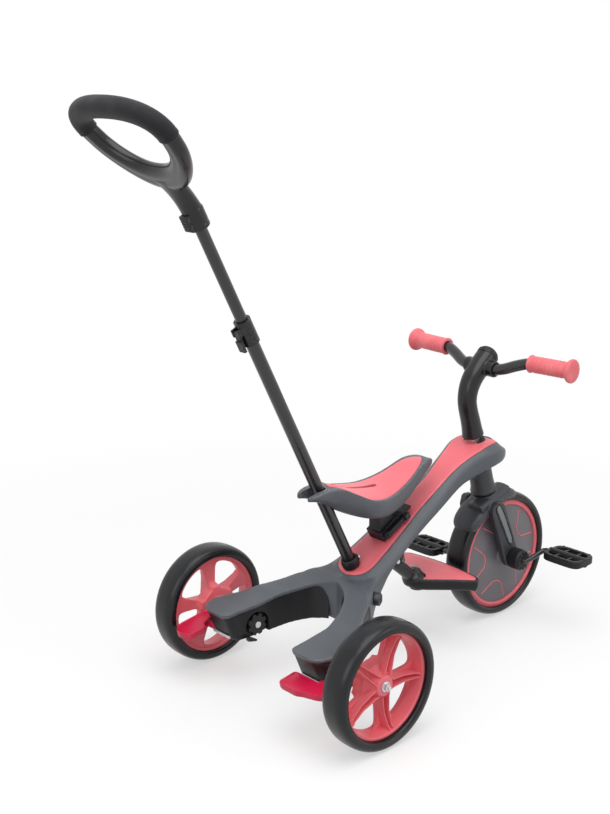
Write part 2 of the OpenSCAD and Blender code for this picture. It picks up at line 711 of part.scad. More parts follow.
// Two dished discs on one hub tube
module front_discs() {
  color([0.5, 0.46, 0.5])
  at_front_axle() along_y() difference() {
    rotate_extrude($fn = 96) polygon([
      [front_axle_r, -27], [16, -27], [22, -21], [60, -19.5], [disc_r, -16], [disc_r, -13], [60, -16],
      [18, -17], [12, -14], [12, 14], [18, 17], [60, 16], [disc_r, 13], [disc_r, 16], [60, 19.5],
      [22, 21], [16, 27], [front_axle_r, 27]
    ]);
  }
}
module front_axle() {
  color("silver")
  at_front_axle() translate([0, -66, 0]) along_y() cylinder(r = front_axle_r, h = 132);
}
crank_in = 45.5;
crank_cap = 71;
spindle_r = 5;
spindle_in = 57;
pedal_in = 104.5;
// Places a crank's parts: the right crank stands crank_turn above forward, the left one opposite
module on_crank(turn) { at_front_axle() rotate([0, -turn, 0]) children(); }
left_turn = 180 + crank_turn;
module crank(turn) {
  color([0.07, 0.07, 0.08])
  on_crank(turn) difference() {
    union() {
      translate([0, crank_in, 0]) along_y() cylinder(r = 20.5, h = crank_cap - crank_in);
      translate([0, spindle_in, 0]) along_y() hull() {
        cylinder(r = 15, h = 11, $fn = 32);
        translate([crank_r, 0, 0]) cylinder(r = 10, h = 11, $fn = 32);
      }
    }
    translate([0, 40, 0]) along_y() cylinder(r = front_axle_r, h = 26);
    translate([crank_r, 50, 0]) along_y() cylinder(r = spindle_r, h = 30);
  }
}
module spindle(turn) {
  color("silver")
  on_crank(turn) translate([crank_r, spindle_in, 0]) along_y()
    cylinder(r = spindle_r, h = pedal_in + pedal_w - 3 - spindle_in);
}
module pedal(turn) {
  color([0.06, 0.06, 0.07])
  at_front_axle() translate([crank_r * cos(turn), pedal_in, crank_r * sin(turn)]) difference() {
    union() {
      translate([0, pedal_w / 2, -7]) linear_extrude(14)
        polygon([for (a = [0:10:350]) rounded(a, 31, pedal_w / 2, 0.45)]);
      along_y() cylinder(r = 9, h = pedal_w);
    }
    for (x = [-24, 11]) translate([x, 9, -20]) cube([13, pedal_w - 18, 40]);
    translate([0, -1, 0]) along_y() cylinder(r = spindle_r + play, h = pedal_w + 2);
  }
}

// ---- Push pole and handle ----

lower_top = 515;
collar_low = 480;
collar_high = 523;
upper_low = 300;
upper_high = 716;
module pole_lower() {
  color([0.1, 0.1, 0.11])
  on_pole() difference() {
    translate([0, 0, socket_low + 3]) cylinder(r = pole_r, h = lower_top - socket_low - 3);
    translate([0, 0, socket_low]) cylinder(r = upper_pole_r + play, h = lower_top - socket_low + 1);
  }
}
clip_pin = [-18, 0, 510];
// Collar on the lower tube, with two ears and the pin of the clip lever
module pole_collar() {
  color([0.06, 0.06, 0.07])
  on_pole() difference() {
    union() {
      translate([0, 0, collar_low]) cylinder(r = 14, h = collar_high - collar_low);
      for (y = [-8, 5]) translate([-22, y, 503]) cube([18, 3, 13]);
      translate(clip_pin - [0, 8, 0]) along_y() cylinder(r = 1.6, h = 16);
    }
    translate([0, 0, collar_low - 1]) cylinder(r = pole_r, h = lower_top - collar_low + 1);
    translate([0, 0, collar_low]) cylinder(r = upper_pole_r + play, h = 60);
  }
}
module clip_lever() {
  color([0.05, 0.05, 0.06])
  on_pole() difference() {
    union() {
      translate(clip_pin - [0, 4.7, 0]) along_y() cylinder(r = 3.4, h = 9.4);
      translate([-21, -4.7, 484]) cube([4, 9.4, 26]);
      translate([-23, -7, 476]) cube([5, 14, 20]);
    }
    translate(clip_pin - [0, 10, 0]) along_y() cylinder(r = 1.6 + play, h = 20);
  }
}
module pole_upper() {
  color([0.1, 0.1, 0.11])
  on_pole() translate([0, 0, upper_low]) difference() {
    cylinder(r = upper_pole_r, h = upper_high - upper_low);
    translate([0, 0, 2]) cylinder(r = upper_pole_r - 1.4, h = upper_high - upper_low);
  }
}
hub_low = 690;
loop_foot = 726;
module on_handle() { on_pole() rotate([0, 0, handle_turn]) children(); }
// Point of the handle: u along the leaning loop, v across it, w out of its plane
function loop_point(u, v, w = 0) =
  [-u * sin(loop_lean) + w * cos(loop_lean), v, loop_foot + u * cos(loop_lean) + w * sin(loop_lean)];
// Centre line of the loop's bar at angle t from its far end, and the bar's half width and half depth
function loop_uv(t) = [133 + 69 * spow(cos(t), 0.87), 95 * spow(sin(t), 0.87) * (1 + 0.3 * cos(t))];
function bar_w(t) = 14 + cos(t) + 11 * pow((1 - cos(t)) / 2, 4);
function bar_d(t) = 12.5 + 0.5 * cos(t);
function loop_ring(t, grow = 0) =
  let (
    c = loop_uv(t),
    d = loop_uv(t + 2) - loop_uv(t - 2),
    n = [d[1], -d[0]] / norm(d)
  )
  [for (a = [0:30:330])
    let (q = rounded(-a, bar_w(t) + grow, bar_d(t) + grow, 0.9))
    loop_point(c[0] + n[0] * q[0], c[1] + n[1] * q[0], q[1])];
grip_span = 78;
button_box = [-20.5, -9, 694];
module handle_body() {
  color([0.07, 0.07, 0.08])
  on_handle() difference() {
    union() {
      loft([for (t = [grip_span:7.5:360 - grip_span]) loop_ring(t)]);
      loft([for (k = [0:6])
        let (
          f = k / 6,
          lean = loop_lean * f,
          c = [0, 0, 718] * (1 - f) + loop_point(64, 0) * f + [3 * sin(180 * f), 0, 0]
        )
        [for (a = [0:15:345])
          let (q = rounded(a, 16.5 + 15 * f * f, 16.5 - 4.5 * f, 1))
          c + [q[1] * cos(lean), q[0], q[1] * sin(lean)]]]);
      translate([0, 0, hub_low]) cylinder(r = 17, h = 720 - hub_low);
    }
    translate([0, 0, hub_low - 1]) cylinder(r = upper_pole_r + play, h = upper_high - hub_low + 2);
    translate(button_box - [5, 0.2, 0.2]) cube([15, 18.4, 26.4]);
  }
}
module handle_grip() {
  color([0.16, 0.16, 0.17])
  on_handle() loft([for (t = [-grip_span:6.5:grip_span]) loop_ring(t, 1.5)]);
}
module handle_button() {
  color([0.05, 0.05, 0.06])
  on_handle() {
    translate(button_box) cube([7, 18, 26]);
    for (k = [0:4]) translate(button_box + [-1.2, 1, 3 + k * 4.6]) cube([2, 16, 1.6]);
  }
}

// ---- Footrest ----

hinge_at = [245, 0, 190];
ear_gap = 16.5;
ear_t = 5;
module footrest_bracket() {
  color([0.12, 0.12, 0.13])
  difference() {
    for (side = [0, 1]) mirror([0, side, 0])
      translate([0, ear_gap + ear_t, 0]) rotate([90, 0, 0]) linear_extrude(ear_t) union() {
        translate([hinge_at[0], hinge_at[2]]) circle(r = 12);
        polygon([[233, 190], [257, 190], [268, 231], [225, 207]]);
      }
    translate(hinge_at - [0, 40, 0]) along_y() cylinder(r = 4, h = 80);
  }
}
module footrest_pin() {
  color("silver")
  translate(hinge_at - [0, ear_gap + ear_t + 2, 0]) along_y() cylinder(r = 4, h = 2 * (ear_gap + ear_t + 2));
}
// Edges of the tray at distance y from the middle; m insets them
function tray_front(y, m) =
  let (e = max(abs(y) - (tray_half_w - 16), 0) / (16 - m + 0.01))
  404 - 12 * pow(y / tray_half_w, 2) - m - (16 - m * 0.6) * (1 - sqrt(max(1 - e * e, 0)));
function tray_rear(y, m) =
  m * 1.25 +
  curve(abs(y), [[0, 296], [12, 297], [25, 306], [45, 327], [65, 348], [80, 362], [90, 371], [97, 379]]);
module tray_outline(m) {
  last = tray_half_w - m - 0.5;
  polygon(concat(
    [for (k = [-20:20]) [tray_front(last * k / 20, m), last * k / 20]],
    [for (k = [20:-1:-20])
      [min(tray_rear(last * k / 20, m), tray_front(last * k / 20, m) - 2), last * k / 20]]
  ));
}
tray_low = 116;
tray_high = 138;
post_low = [322, 0, 125];
module footrest_post_rod(r) { rod(hinge_at, post_low, r); }
module footrest_tray() {
  color([0.36, 0.38, 0.4])
  difference() {
    translate([0, 0, tray_low]) linear_extrude(tray_high - tray_low) tray_outline(0);
    translate([0, 0, tray_high - 3]) linear_extrude(10) tray_outline(6);
    translate([0, 0, tray_low - 1]) linear_extrude(tray_high - tray_low - 5) tray_outline(4);
    footrest_post_rod(12);
    translate([post_low[0], 0, tray_low - 5]) cylinder(r = 15, h = 18);
  }
}
module footrest_mat() {
  color([0.9, 0.48, 0.49])
  difference() {
    translate([0, 0, tray_high - 3]) linear_extrude(3.6) tray_outline(6.3);
    footrest_post_rod(12.2);
  }
}
// Post: barrel on the hinge pin, arm down to the tray and a foot clamped under it
module footrest_post() {
  color([0.06, 0.06, 0.07])
  difference() {
    union() {
      translate(hinge_at - [0, ear_gap - gap, 0]) along_y() cylinder(r = 13, h = 2 * (ear_gap - gap));
      footrest_post_rod(12);
      translate([post_low[0], 0, tray_low - 5]) cylinder(r = 15, h = 18);
    }
    translate(hinge_at - [0, 40, 0]) along_y() cylinder(r = 4 + play, h = 80);
  }
}

place() frame_shell();
place() frame_base();
place() frame_ribs();
place() top_panel();
place() head_tube();
place() head_bushes();
place() pole_socket();
place() seat_rail();
place() footrest_bracket();
place() footrest_pin();
place() axle_housings();
place() brake_pins();
place() pole_lower();
place() pole_collar();
place() pole_button();
place() release_knob();
place() clip_lever();
place() seat_shell();
place() seat_pad();
place() seat_block();
place() seat_latch();
place() rear_tyre();  // rear_tyre_left
place() rear_rim(window_turn_left);  // rear_rim_left
place() rear_axle();  // rear_axle_left
place() brake_disc();  // brake_disc_left
place() wheel_bolt();  // wheel_bolt_left
place() right() rear_tyre();  // rear_tyre_right
place() right() rear_rim(window_turn_right);  // rear_rim_right
place() right() rear_axle();  // rear_axle_right
place() right() brake_disc();  // brake_disc_right
place() right() wheel_bolt();  // wheel_bolt_right
place() brake_lever(left_plate);  // brake_lever_left
place() right() brake_lever(right_plate);  // brake_lever_right
place() fork();
place() mudguard();
place() steerer();
place() fork_inlays();
place() fork_bushes();
place() stem();
place() stem_cap();
place() handlebar();
place() grip();  // grip_left
place() right() grip();  // grip_right
place() front_tyre();
place() front_ring();
place() front_discs();
place() front_axle();
place() crank(left_turn);  // crank_left
place() right() crank(crank_turn);  // crank_right
place() spindle(left_turn);  // spindle_left
place() right() spindle(crank_turn);  // spindle_right
place() pedal(left_turn);  // pedal_left
place() right() pedal(crank_turn);  // pedal_right
place() pole_upper();
place() handle_body();
place() handle_grip();
place() handle_button();
place() footrest_tray();
place() footrest_mat();
place() footrest_post();
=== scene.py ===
"""Looks of the children's tricycle: a body moulded round a sloping beam, a wheel on each rear arm,
a steered and pedalled front wheel, a sliding saddle, a footrest and a telescopic push pole."""
import math

import bmesh
import bpy
import numpy as np
from mathutils import Matrix, Vector


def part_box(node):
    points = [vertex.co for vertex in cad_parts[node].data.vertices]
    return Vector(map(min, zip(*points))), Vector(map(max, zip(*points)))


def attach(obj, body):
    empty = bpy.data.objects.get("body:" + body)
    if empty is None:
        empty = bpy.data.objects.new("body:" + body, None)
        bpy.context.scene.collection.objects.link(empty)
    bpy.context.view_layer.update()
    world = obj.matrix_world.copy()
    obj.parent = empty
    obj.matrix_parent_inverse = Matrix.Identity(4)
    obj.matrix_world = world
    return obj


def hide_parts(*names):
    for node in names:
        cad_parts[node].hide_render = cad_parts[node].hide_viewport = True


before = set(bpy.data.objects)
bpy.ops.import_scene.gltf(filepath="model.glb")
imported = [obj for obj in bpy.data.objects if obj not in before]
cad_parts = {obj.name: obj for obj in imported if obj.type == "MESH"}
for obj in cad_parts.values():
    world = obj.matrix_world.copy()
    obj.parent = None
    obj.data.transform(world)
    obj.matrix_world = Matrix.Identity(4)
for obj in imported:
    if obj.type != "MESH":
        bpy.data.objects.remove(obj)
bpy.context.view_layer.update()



def shade(red, green, blue):
    """Linear colour of three display values from 0 to 255: the display curve undone on each."""
    display = np.array([red, green, blue]) / 255
    linear = np.where(display > 0.04045, ((display + 0.055) / 1.055) ** 2.4, display / 12.92)
    return (*linear.tolist(), 1.0)


class Wire:
    """An output of a node, on which Python's arithmetic adds Math nodes to the same tree."""

    def __init__(self, bench, socket):
        self.bench, self.socket = bench, socket

    def maths(self, operation, *terms):
        return self.bench.node("ShaderNodeMath", {"operation": operation}, dict(enumerate(terms)))

    def __add__(self, other):
        return self.maths("ADD", self, other)

    def __sub__(self, other):
        return self.maths("SUBTRACT", self, other)

    def __rsub__(self, other):
        return self.maths("SUBTRACT", other, self)

    def __mul__(self, other):
        return self.maths("MULTIPLY", self, other)

    __radd__, __rmul__ = __add__, __mul__

    def wave(self):
        return self.maths("SINE", self)

    def most(self, other):
        return self.maths("MAXIMUM", self, other)


class Bench:
    """A node tree being wired. node() adds any node: its type, its settings, and its sockets' values or wires."""

    def __init__(self, tree):
        self.tree = tree

    def join(self, socket, value):
        if isinstance(value, Wire):
            self.tree.links.new(value.socket, socket)
        else:
            socket.default_value = value

    def node(self, kind, settings={}, sockets={}, out=0):
        made = self.tree.nodes.new(kind)
        for name, value in settings.items():
            setattr(made, name, value)
        for name, value in sockets.items():
            self.join(made.inputs[name], value)
        return Wire(self, made.outputs[out])


def seen_by_eye(bench):
    """1 where a ray comes from the camera, a reflection or clear plastic, and 0 where it carries light."""
    ray = bench.node("ShaderNodeLightPath", out="Is Camera Ray")
    outputs = ray.socket.node.outputs
    return ray.most(Wire(bench, outputs["Is Glossy Ray"])).most(Wire(bench, outputs["Is Transmission Ray"]))


scene = bpy.context.scene
scene.view_settings.view_transform = "Standard"
scene.world = bpy.data.worlds.new("studio_room")
scene.world.use_nodes = True
white = (1, 1, 1, 1)
room = Bench(scene.world.node_tree)
room_light = room.node("ShaderNodeBackground", sockets={"Color": white, "Strength": 0.62})
room_white = room.node("ShaderNodeBackground", sockets={"Color": white, "Strength": 1.0})
room_seen = room.node("ShaderNodeMixShader", sockets={0: seen_by_eye(room), 1: room_light, 2: room_white})
room.join(scene.world.node_tree.nodes["World Output"].inputs["Surface"], room_seen)

floor_half = 30
floor_corners = [(x * floor_half, y * floor_half, 0) for x, y in ((-1, -1), (1, -1), (1, 1), (-1, 1))]
floor_mesh = bpy.data.meshes.new("studio_floor")
floor_mesh.from_pydata(floor_corners, [], [(0, 1, 2, 3)])
floor = bpy.data.objects.new("studio_floor", floor_mesh)
scene.collection.objects.link(floor)
floor_paint = bpy.data.materials.new("studio_floor")
floor_paint.use_nodes = True
paint = Bench(floor_paint.node_tree)
matt = paint.node("ShaderNodeBsdfDiffuse", sockets={"Color": (0.46, 0.46, 0.46, 1)})
glow = paint.node("ShaderNodeEmission", sockets={"Color": white, "Strength": 0.5 * seen_by_eye(paint)})
backdrop = paint.node("ShaderNodeEmission", sockets={"Color": white, "Strength": 1.0})
spot = paint.node("ShaderNodeTexCoord", out="Object")
away = paint.node("ShaderNodeVectorMath", {"operation": "LENGTH"}, {0: spot}, out="Value")
far_off = paint.node("ShaderNodeMapRange", {"interpolation_type": "SMOOTHSTEP"},
                     {"Value": away, "From Min": 0.6, "From Max": 1.7})
near_by = paint.node("ShaderNodeAddShader", sockets={0: matt, 1: glow})
paint.join(floor_paint.node_tree.nodes["Material Output"].inputs["Surface"],
           paint.node("ShaderNodeMixShader", sockets={0: far_off * seen_by_eye(paint), 1: near_by, 2: backdrop}))
floor_mesh.materials.append(floor_paint)


def lamp(name, place, target, size, watts):
    """A square soft lamp at a place, turned towards a target."""
    light = bpy.data.lights.new(name, "AREA")
    light.size, light.energy = size, watts
    stand = bpy.data.objects.new(name, light)
    stand.location = place
    stand.rotation_euler = (Vector(target) - Vector(place)).to_track_quat("-Z", "Y").to_euler()
    scene.collection.objects.link(stand)


lamp_target = (0.1, 0, 0.35)
lamp("lamp_over", (-0.3, -0.6, 3.0), lamp_target, 2.4, 48)
lamp("lamp_left", (-2.4, -0.4, 1.6), lamp_target, 1.6, 14)
lamp("lamp_right", (1.4, -2.4, 1.5), lamp_target, 1.4, 10)

lens = bpy.data.cameras.new("camera")
lens.lens, lens.sensor_width = 56.47, 36
camera = bpy.data.objects.new("camera", lens)
camera.location = (-1.4854, -1.5035, 1.0507)
look_down, look_left = 14.92, 47.87
camera.rotation_euler = (math.radians(90 - look_down), 0, math.radians(look_left - 90))
scene.collection.objects.link(camera)
scene.camera = camera


# ---- Frame body ----
# A broad grey beam climbs from the rear deck to the head, and two arms curve out and back to the rear wheels.
# Deck and beam are one grey moulding with a lip round its edge; under the lip the arms' walls are a black
# moulding, set in a little, whose rear ends slant forward. The decks carry fine anti-slip lines.
MM = 0.001
axle_low, axle_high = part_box("rear_axle_left")
ground_origin = np.array([(axle_low[0] + axle_high[0]) / 2, 0.0, 0.0])


def curve(x, table):
    """Cubic through the rows [x, value] of a table, with the slope at each row taken from its neighbours."""
    place, value = np.array(table, float).T
    slope = np.gradient(value, place) if len(place) < 3 else np.concatenate([
        [(value[1] - value[0]) / (place[1] - place[0])],
        (value[2:] - value[:-2]) / (place[2:] - place[:-2]),
        [(value[-1] - value[-2]) / (place[-1] - place[-2])]])
    x = np.clip(x, place[0], place[-1])
    i = np.clip(np.searchsorted(place, x, side="right") - 1, 0, len(place) - 2)
    width = place[i + 1] - place[i]
    u = (x - place[i]) / width
    return (value[i] * (1 + 2 * u) * (1 - u) ** 2 + value[i + 1] * u * u * (3 - 2 * u)
            + slope[i] * width * u * (1 - u) ** 2 - slope[i + 1] * width * u * u * (1 - u))


def soften(outline, radius, steps=4):
    """Closed outline (points along the last axis but one) with each corner replaced by a quadratic curve.
    The curve starts and ends radius before and after the corner, or at just under half of a short side."""
    before, after = np.roll(outline, 1, -2) - outline, np.roll(outline, -1, -2) - outline
    long_before = np.linalg.norm(before, axis=-1, keepdims=True) + 1e-9
    long_after = np.linalg.norm(after, axis=-1, keepdims=True) + 1e-9
    wished = np.broadcast_to(np.asarray(radius, float)[..., None], long_before.shape)
    reach = np.minimum(np.minimum(wished, 0.48 * long_before), 0.48 * long_after)
    t = np.linspace(0, 1, steps + 1)[:, None]
    start, end = outline + before / long_before * reach, outline + after / long_after * reach
    bent = ((1 - t) ** 2 * start[..., None, :] + 2 * t * (1 - t) * outline[..., None, :]
            + t ** 2 * end[..., None, :])
    return bent.reshape(*outline.shape[:-2], -1, outline.shape[-1])


def skin(rings, closed=False):
    """Shape through rings of equally many points: four-sided faces between neighbours and a flat cap on each
    end ring, or no caps where the last ring joins the first."""
    m, n = rings.shape[:2]
    i, j = np.arange(m if closed else m - 1)[:, None], np.arange(n)[None, :]
    near, far = i * n, (i + 1) % m * n
    faces = np.stack([near + j, near + (j + 1) % n, far + (j + 1) % n, far + j], -1).reshape(-1, 4).tolist()
    if not closed:
        faces += [list(range(n))[::-1], list(range((m - 1) * n, m * n))]
    return rings.reshape(-1, 3), faces


def together(*shapes):
    """Several shapes as one: their points in a row, their faces counted on."""
    points, faces, start = [], [], 0
    for some, their in shapes:
        points.append(some)
        faces += [[v + start for v in f] for f in their]
        start += len(some)
    return np.concatenate(points), faces


def mirrored(shape):
    """The same shape on the tricycle's other side."""
    return shape[0] * [1, -1, 1], shape[1]


def on(hand, shape):
    """A shape made for the left, as it is there and mirrored on the right."""
    return shape if hand == "left" else mirrored(shape)


def mesh_of(name, shape):
    """Mesh of a shape in millimetres from the ground under the rear axle: doubles merged, faces outwards."""
    mesh = bpy.data.meshes.new(name)
    mesh.from_pydata((shape[0] * MM + ground_origin).tolist(), [], shape[1])
    form = bmesh.new()
    form.from_mesh(mesh)
    bmesh.ops.remove_doubles(form, verts=form.verts, dist=1e-6)
    bmesh.ops.dissolve_degenerate(form, edges=form.edges, dist=1e-7)
    bmesh.ops.recalc_face_normals(form, faces=form.faces)
    form.to_mesh(mesh)
    form.free()
    return mesh


def piece(name, shape, finish, body, stands_for=(), crease=32, bevel=0.0):
    """A finished piece from a shape or a mesh: smooth but for edges sharper than crease degrees, bevelled in
    millimetres, riding on a body. It stands for the nodes named, or else for the node of its own name."""
    mesh = shape if isinstance(shape, bpy.types.Mesh) else mesh_of(name, shape)
    made = bpy.data.objects.new(name, mesh)
    scene.collection.objects.link(made)
    mesh.materials.append(finish)
    mesh.shade_smooth()
    mesh.set_sharp_from_angle(angle=math.radians(crease))
    if bevel:
        edge = made.modifiers.new("edge", "BEVEL")
        edge.width, edge.segments, edge.harden_normals = bevel * MM, 2, False
        edge.limit_method, edge.angle_limit = "ANGLE", math.radians(crease)
    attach(made, body)
    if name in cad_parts:
        stands_for = stands_for or (name,)
    if stands_for:
        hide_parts(*stands_for)


def formed(name, shape, voxel=0.0, rounds=4, cuts=()):
    """Mesh of a shape: melted into one skin on a grid of voxel millimetres and smoothed in so many rounds, then
    with each of the cuts taken away from it."""
    rough = bpy.data.objects.new(name, mesh_of(name, shape))
    scene.collection.objects.link(rough)
    if voxel:
        melt = rough.modifiers.new("melt", "REMESH")
        melt.mode, melt.voxel_size = "VOXEL", voxel * MM
        calm = rough.modifiers.new("calm", "SMOOTH")
        calm.factor, calm.iterations = 0.5, rounds
    tools = [bpy.data.objects.new("tool", mesh_of("tool", cut)) for cut in cuts]
    for tool in tools:
        scene.collection.objects.link(tool)
        made = rough.modifiers.new("cut", "BOOLEAN")
        made.object, made.operation, made.solver = tool, "DIFFERENCE", "EXACT"
    mesh = bpy.data.meshes.new_from_object(rough.evaluated_get(bpy.context.evaluated_depsgraph_get()))
    for used in (rough, *tools):
        bpy.data.objects.remove(used)
    mesh.name = name
    return mesh


class Finish(Bench):
    """A material being made on the shader's own sockets: constants by name, then wires for what varies."""

    def __init__(self, name, **fixed):
        self.material = bpy.data.materials.new(name)
        self.material.use_nodes = True
        super().__init__(self.material.node_tree)
        self.shader = self.tree.nodes["Principled BSDF"]
        for key, value in fixed.items():
            self.shader.inputs[self.label(key)].default_value = value
        self.place = self.node("ShaderNodeTexCoord", out="Object")

    def label(self, key):
        """A socket's name from a keyword."""
        return key.replace("_", " ").title().replace("Ior", "IOR")

    def grain(self, scale, detail=2.0, stretch=None):
        """Noise of so many grains a metre, drawn out along an axis where stretch is given."""
        place = self.place
        if stretch:
            place = self.node("ShaderNodeMapping", sockets={"Vector": place, "Scale": stretch})
        return self.node("ShaderNodeTexNoise", sockets={"Vector": place, "Scale": scale, "Detail": detail})

    def fade(self, value, low, high):
        """0 below low, 1 above high, and smooth between them."""
        return self.node("ShaderNodeMapRange", {"interpolation_type": "SMOOTHSTEP", "clamp": True},
                         {"Value": value, "From Min": low, "From Max": high})

    def mix(self, factor, one, two):
        """Colour one where factor is 0 and colour two where it is 1."""
        return self.node("ShaderNodeMix", {"data_type": "RGBA"}, {0: factor, 6: one, 7: two}, out=2)

    def bumps(self, height, depth, under=None):
        """Surface normal of a height from 0 to 1 that is depth millimetres deep, over another where given."""
        sockets = {"Height": height, "Distance": depth * MM, "Strength": 1.0}
        if under:
            sockets["Normal"] = under
        return self.node("ShaderNodeBump", sockets=sockets)

    def edges(self):
        """1 on worn outer edges, where the surface is sharply convex."""
        return self.fade(self.node("ShaderNodeNewGeometry", out="Pointiness"), 0.515, 0.56)

    def axis(self, letter, vector=None):
        """One coordinate of a place on the piece, or of another vector."""
        return self.node("ShaderNodeSeparateXYZ", sockets={0: vector or self.place}, out=letter)

    def put(self, **wires):
        """Wire what varies into the shader's sockets; the material is ready."""
        for key, value in wires.items():
            self.join(self.shader.inputs[self.label(key)], value)
        return self.material


def moulded(name, colour, roughness, wear=0.35, clouds=0.06, grit=0.05, extra=None, **fixed):
    """Injection-moulded plastic: faint cloudy flow in the colour, a fine spark-eroded grain, tiny dust specks,
    hairline scuffs in the gloss, and edges rubbed paler. extra adds to the height and returns (height, depth)."""
    f = Finish(name, **fixed)
    red, green, blue, _ = colour
    dark = (red * (1 - clouds), green * (1 - clouds), blue * (1 - clouds), 1)
    pale = tuple(min(1, c * (1 + clouds) + 0.002) for c in (red, green, blue)) + (1,)
    rubbed = tuple(c + (1 - c) * 0.16 for c in (red, green, blue)) + (1,)
    cloud, fine, scuff = f.grain(14, 3), f.grain(1500, 2), f.grain(70, 4, (1, 9, 1))
    base = f.mix(f.fade(cloud, 0.3, 0.7), dark, pale)
    rub = f.edges() * f.fade(f.grain(260, 3), 0.42, 0.66) * wear
    base = f.mix(rub, base, rubbed)
    gloss = roughness + (fine - 0.5) * grit * 2 + f.fade(scuff, 0.6, 0.75) * 0.09 - rub * 0.1
    normal = f.bumps(fine, 0.05)
    if extra:
        height, depth = extra(f)
        normal = f.bumps(height, depth, normal)
    return f.put(base_color=base, roughness=gloss, normal=normal)


GREY, DEEP_GREY, BLACK = shade(84, 88, 94), shade(52, 54, 59), shade(22, 22, 25)
CORAL = shade(238, 112, 122)


def deck_lines(f):
    """Fine anti-slip lines across the decks: a wave every 3 mm of length, only where the surface faces up and
    behind the panel."""
    along, up = f.axis("X"), f.axis("Z", f.node("ShaderNodeNewGeometry", out="Normal"))
    lines = f.fade((along * (2 * math.pi / (3 * MM))).wave(), -0.2, 0.9)
    return lines * f.fade(up, 0.8, 0.9) * f.fade(along, 0.03, -0.01), 0.25


frame_grey = moulded("frame_grey_plastic", GREY, 0.46, extra=deck_lines)

# Millimetres from the ground under the rear axle: top, half width and height of the shoulder, and underside
beam_top = [[120, 187], [150, 201], [200, 226], [250, 254], [300, 283], [350, 310], [400, 342], [450, 365],
            [480, 371], [510, 366], [537, 350]]
panel_half = [[134, 1], [138, 17], [144, 27], [152, 34], [165, 37], [200, 34], [250, 29], [300, 24], [350, 22],
              [375, 23], [400, 27], [425, 32], [450, 38], [475, 39], [490, 35], [502, 26], [508, 16], [511, 3]]
shoulder_half = [[120, 82], [135, 70], [150, 62], [175, 56], [200, 53], [250, 47], [300, 41], [350, 37], [375, 37],
                 [400, 39], [425, 43], [450, 50], [475, 54], [495, 51], [510, 44], [522, 35], [532, 22], [536, 9]]
shoulder_high = [[120, 168], [150, 184], [200, 210], [250, 239], [300, 268], [350, 297], [400, 331], [450, 354],
                 [475, 358], [500, 356], [537, 344]]
beam_low = [[120, 106], [135, 116], [150, 135], [175, 164], [200, 190], [250, 222], [300, 246], [350, 270],
            [400, 300], [425, 309], [450, 318], [475, 324], [500, 327], [537, 331]]
arm_outer = [[-73, 131], [-68, 143], [-60, 151], [-40, 158], [-20, 155], [0, 147.5], [20, 139], [40, 130],
             [60, 119], [80, 106], [100, 94], [120, 82], [150, 62], [190, 52]]
arm_inner = [[-73, 92], [-66, 84], [-40, 82], [0, 78], [20, 76.6], [40, 71], [60, 63], [80, 50], [95, 38],
             [106, 22], [112, 8], [116, -1.7], [150, -1.7], [190, -1.7]]
arm_high = [[-73, 143], [-40, 146], [0, 149], [20, 152], [40, 158], [60, 162], [80, 168], [100, 175], [120, 184],
            [134, 186.5], [150, 192], [190, 211]]
arm_low = [[-73, 92], [-60, 86], [-40, 85], [0, 85], [35, 91], [80, 101], [110, 106], [130, 112], [150, 134],
           [175, 164], [190, 180]]
panel_sink = 1.6


def rings_along(half):
    """Rings of [y, z] from one half of an outline, each corner given as arrays of y and z, mirrored in Y."""
    half = np.stack([np.stack(np.broadcast_arrays(y, z), -1) for y, z in half], 1)
    return np.concatenate([half, half[:, ::-1] * [-1, 1]], 1)


def across(x, outline):
    """Points of outlines in Y and Z, each set at its own x."""
    return np.concatenate([np.broadcast_to(x[:, None, None], (*outline.shape[:2], 1)), outline], -1)


def spread(low, high, count):
    """Places from low to high, close together near both ends."""
    return (low + high) / 2 - (high - low) / 2 * np.cos(np.linspace(0, math.pi, count))


def beam_shape():
    """The beam: at each x a ring over the panel's recess, out to the shoulder, down the flank and under."""
    x = spread(122.3, 536, 110)
    half, high, low, top = (curve(x, t) for t in (shoulder_half, shoulder_high, beam_low, beam_top))
    tall, top, on_panel = high - low, top - panel_sink, (x > 134) & (x < 511)
    panel = np.minimum(np.where(on_panel, curve(x, panel_half), 1) + 0.6, half - 1)
    ring = rings_along([(panel - 0.2, top - np.where(on_panel, 3.5, 0.0)), (panel, top), (half, high),
                        (half, low + tall * 0.45), (half * 0.95, low + tall * 0.18), (half * 0.8, low)])
    soft = np.array([0.8, 0.8, 5, 8, 8, 6])
    return skin(across(x, soften(ring, np.concatenate([soft, soft[::-1]]), 3)))


def arm_shape(inset=0.0, lip=0.0):
    """The left arm: at each x a ring with a flat deck, a rounded outer shoulder and upright walls. A lip keeps
    only so much of its height, more where it joins the beam; without one the ring starts below the deck. The
    rear end is sheared forward by the depth below the deck."""
    x = spread(-73 + inset, 188 if lip else 112, 120)
    outer, inner, deck, low = (curve(x, t) for t in (arm_outer, arm_inner, arm_high, arm_low))
    outer, inner, high = outer - inset, inner + inset, deck - 4
    if lip:
        high, low = deck, np.maximum(low, deck - lip - 100 * np.clip((x - 101) / 18, 0, 1) ** 2)
    wide, tall = outer - inner, high - low
    drop = np.minimum(tall, 24)
    corners = [(inner, low), (inner, high), (outer - np.minimum(wide * 0.3, 12), high),
               (outer - wide * 0.03, high - drop * 0.18), (outer, high - drop * 0.45),
               (outer - wide * 0.01, low + tall * 0.25), (outer - wide * 0.05, low)]
    ring = np.stack([np.stack(c, -1) for c in corners], 1)
    soft = np.minimum(np.array([3, 4, 9, 9, 8, 8, 6.0]), 0.3 * wide[:, None])
    points = across(x, soften(ring, soft, 4))
    points[..., 0] += 0.43 * (deck[:, None] - points[..., 2]) * np.clip((-20 - x) / 40, 0, 1)[:, None]
    return skin(points)


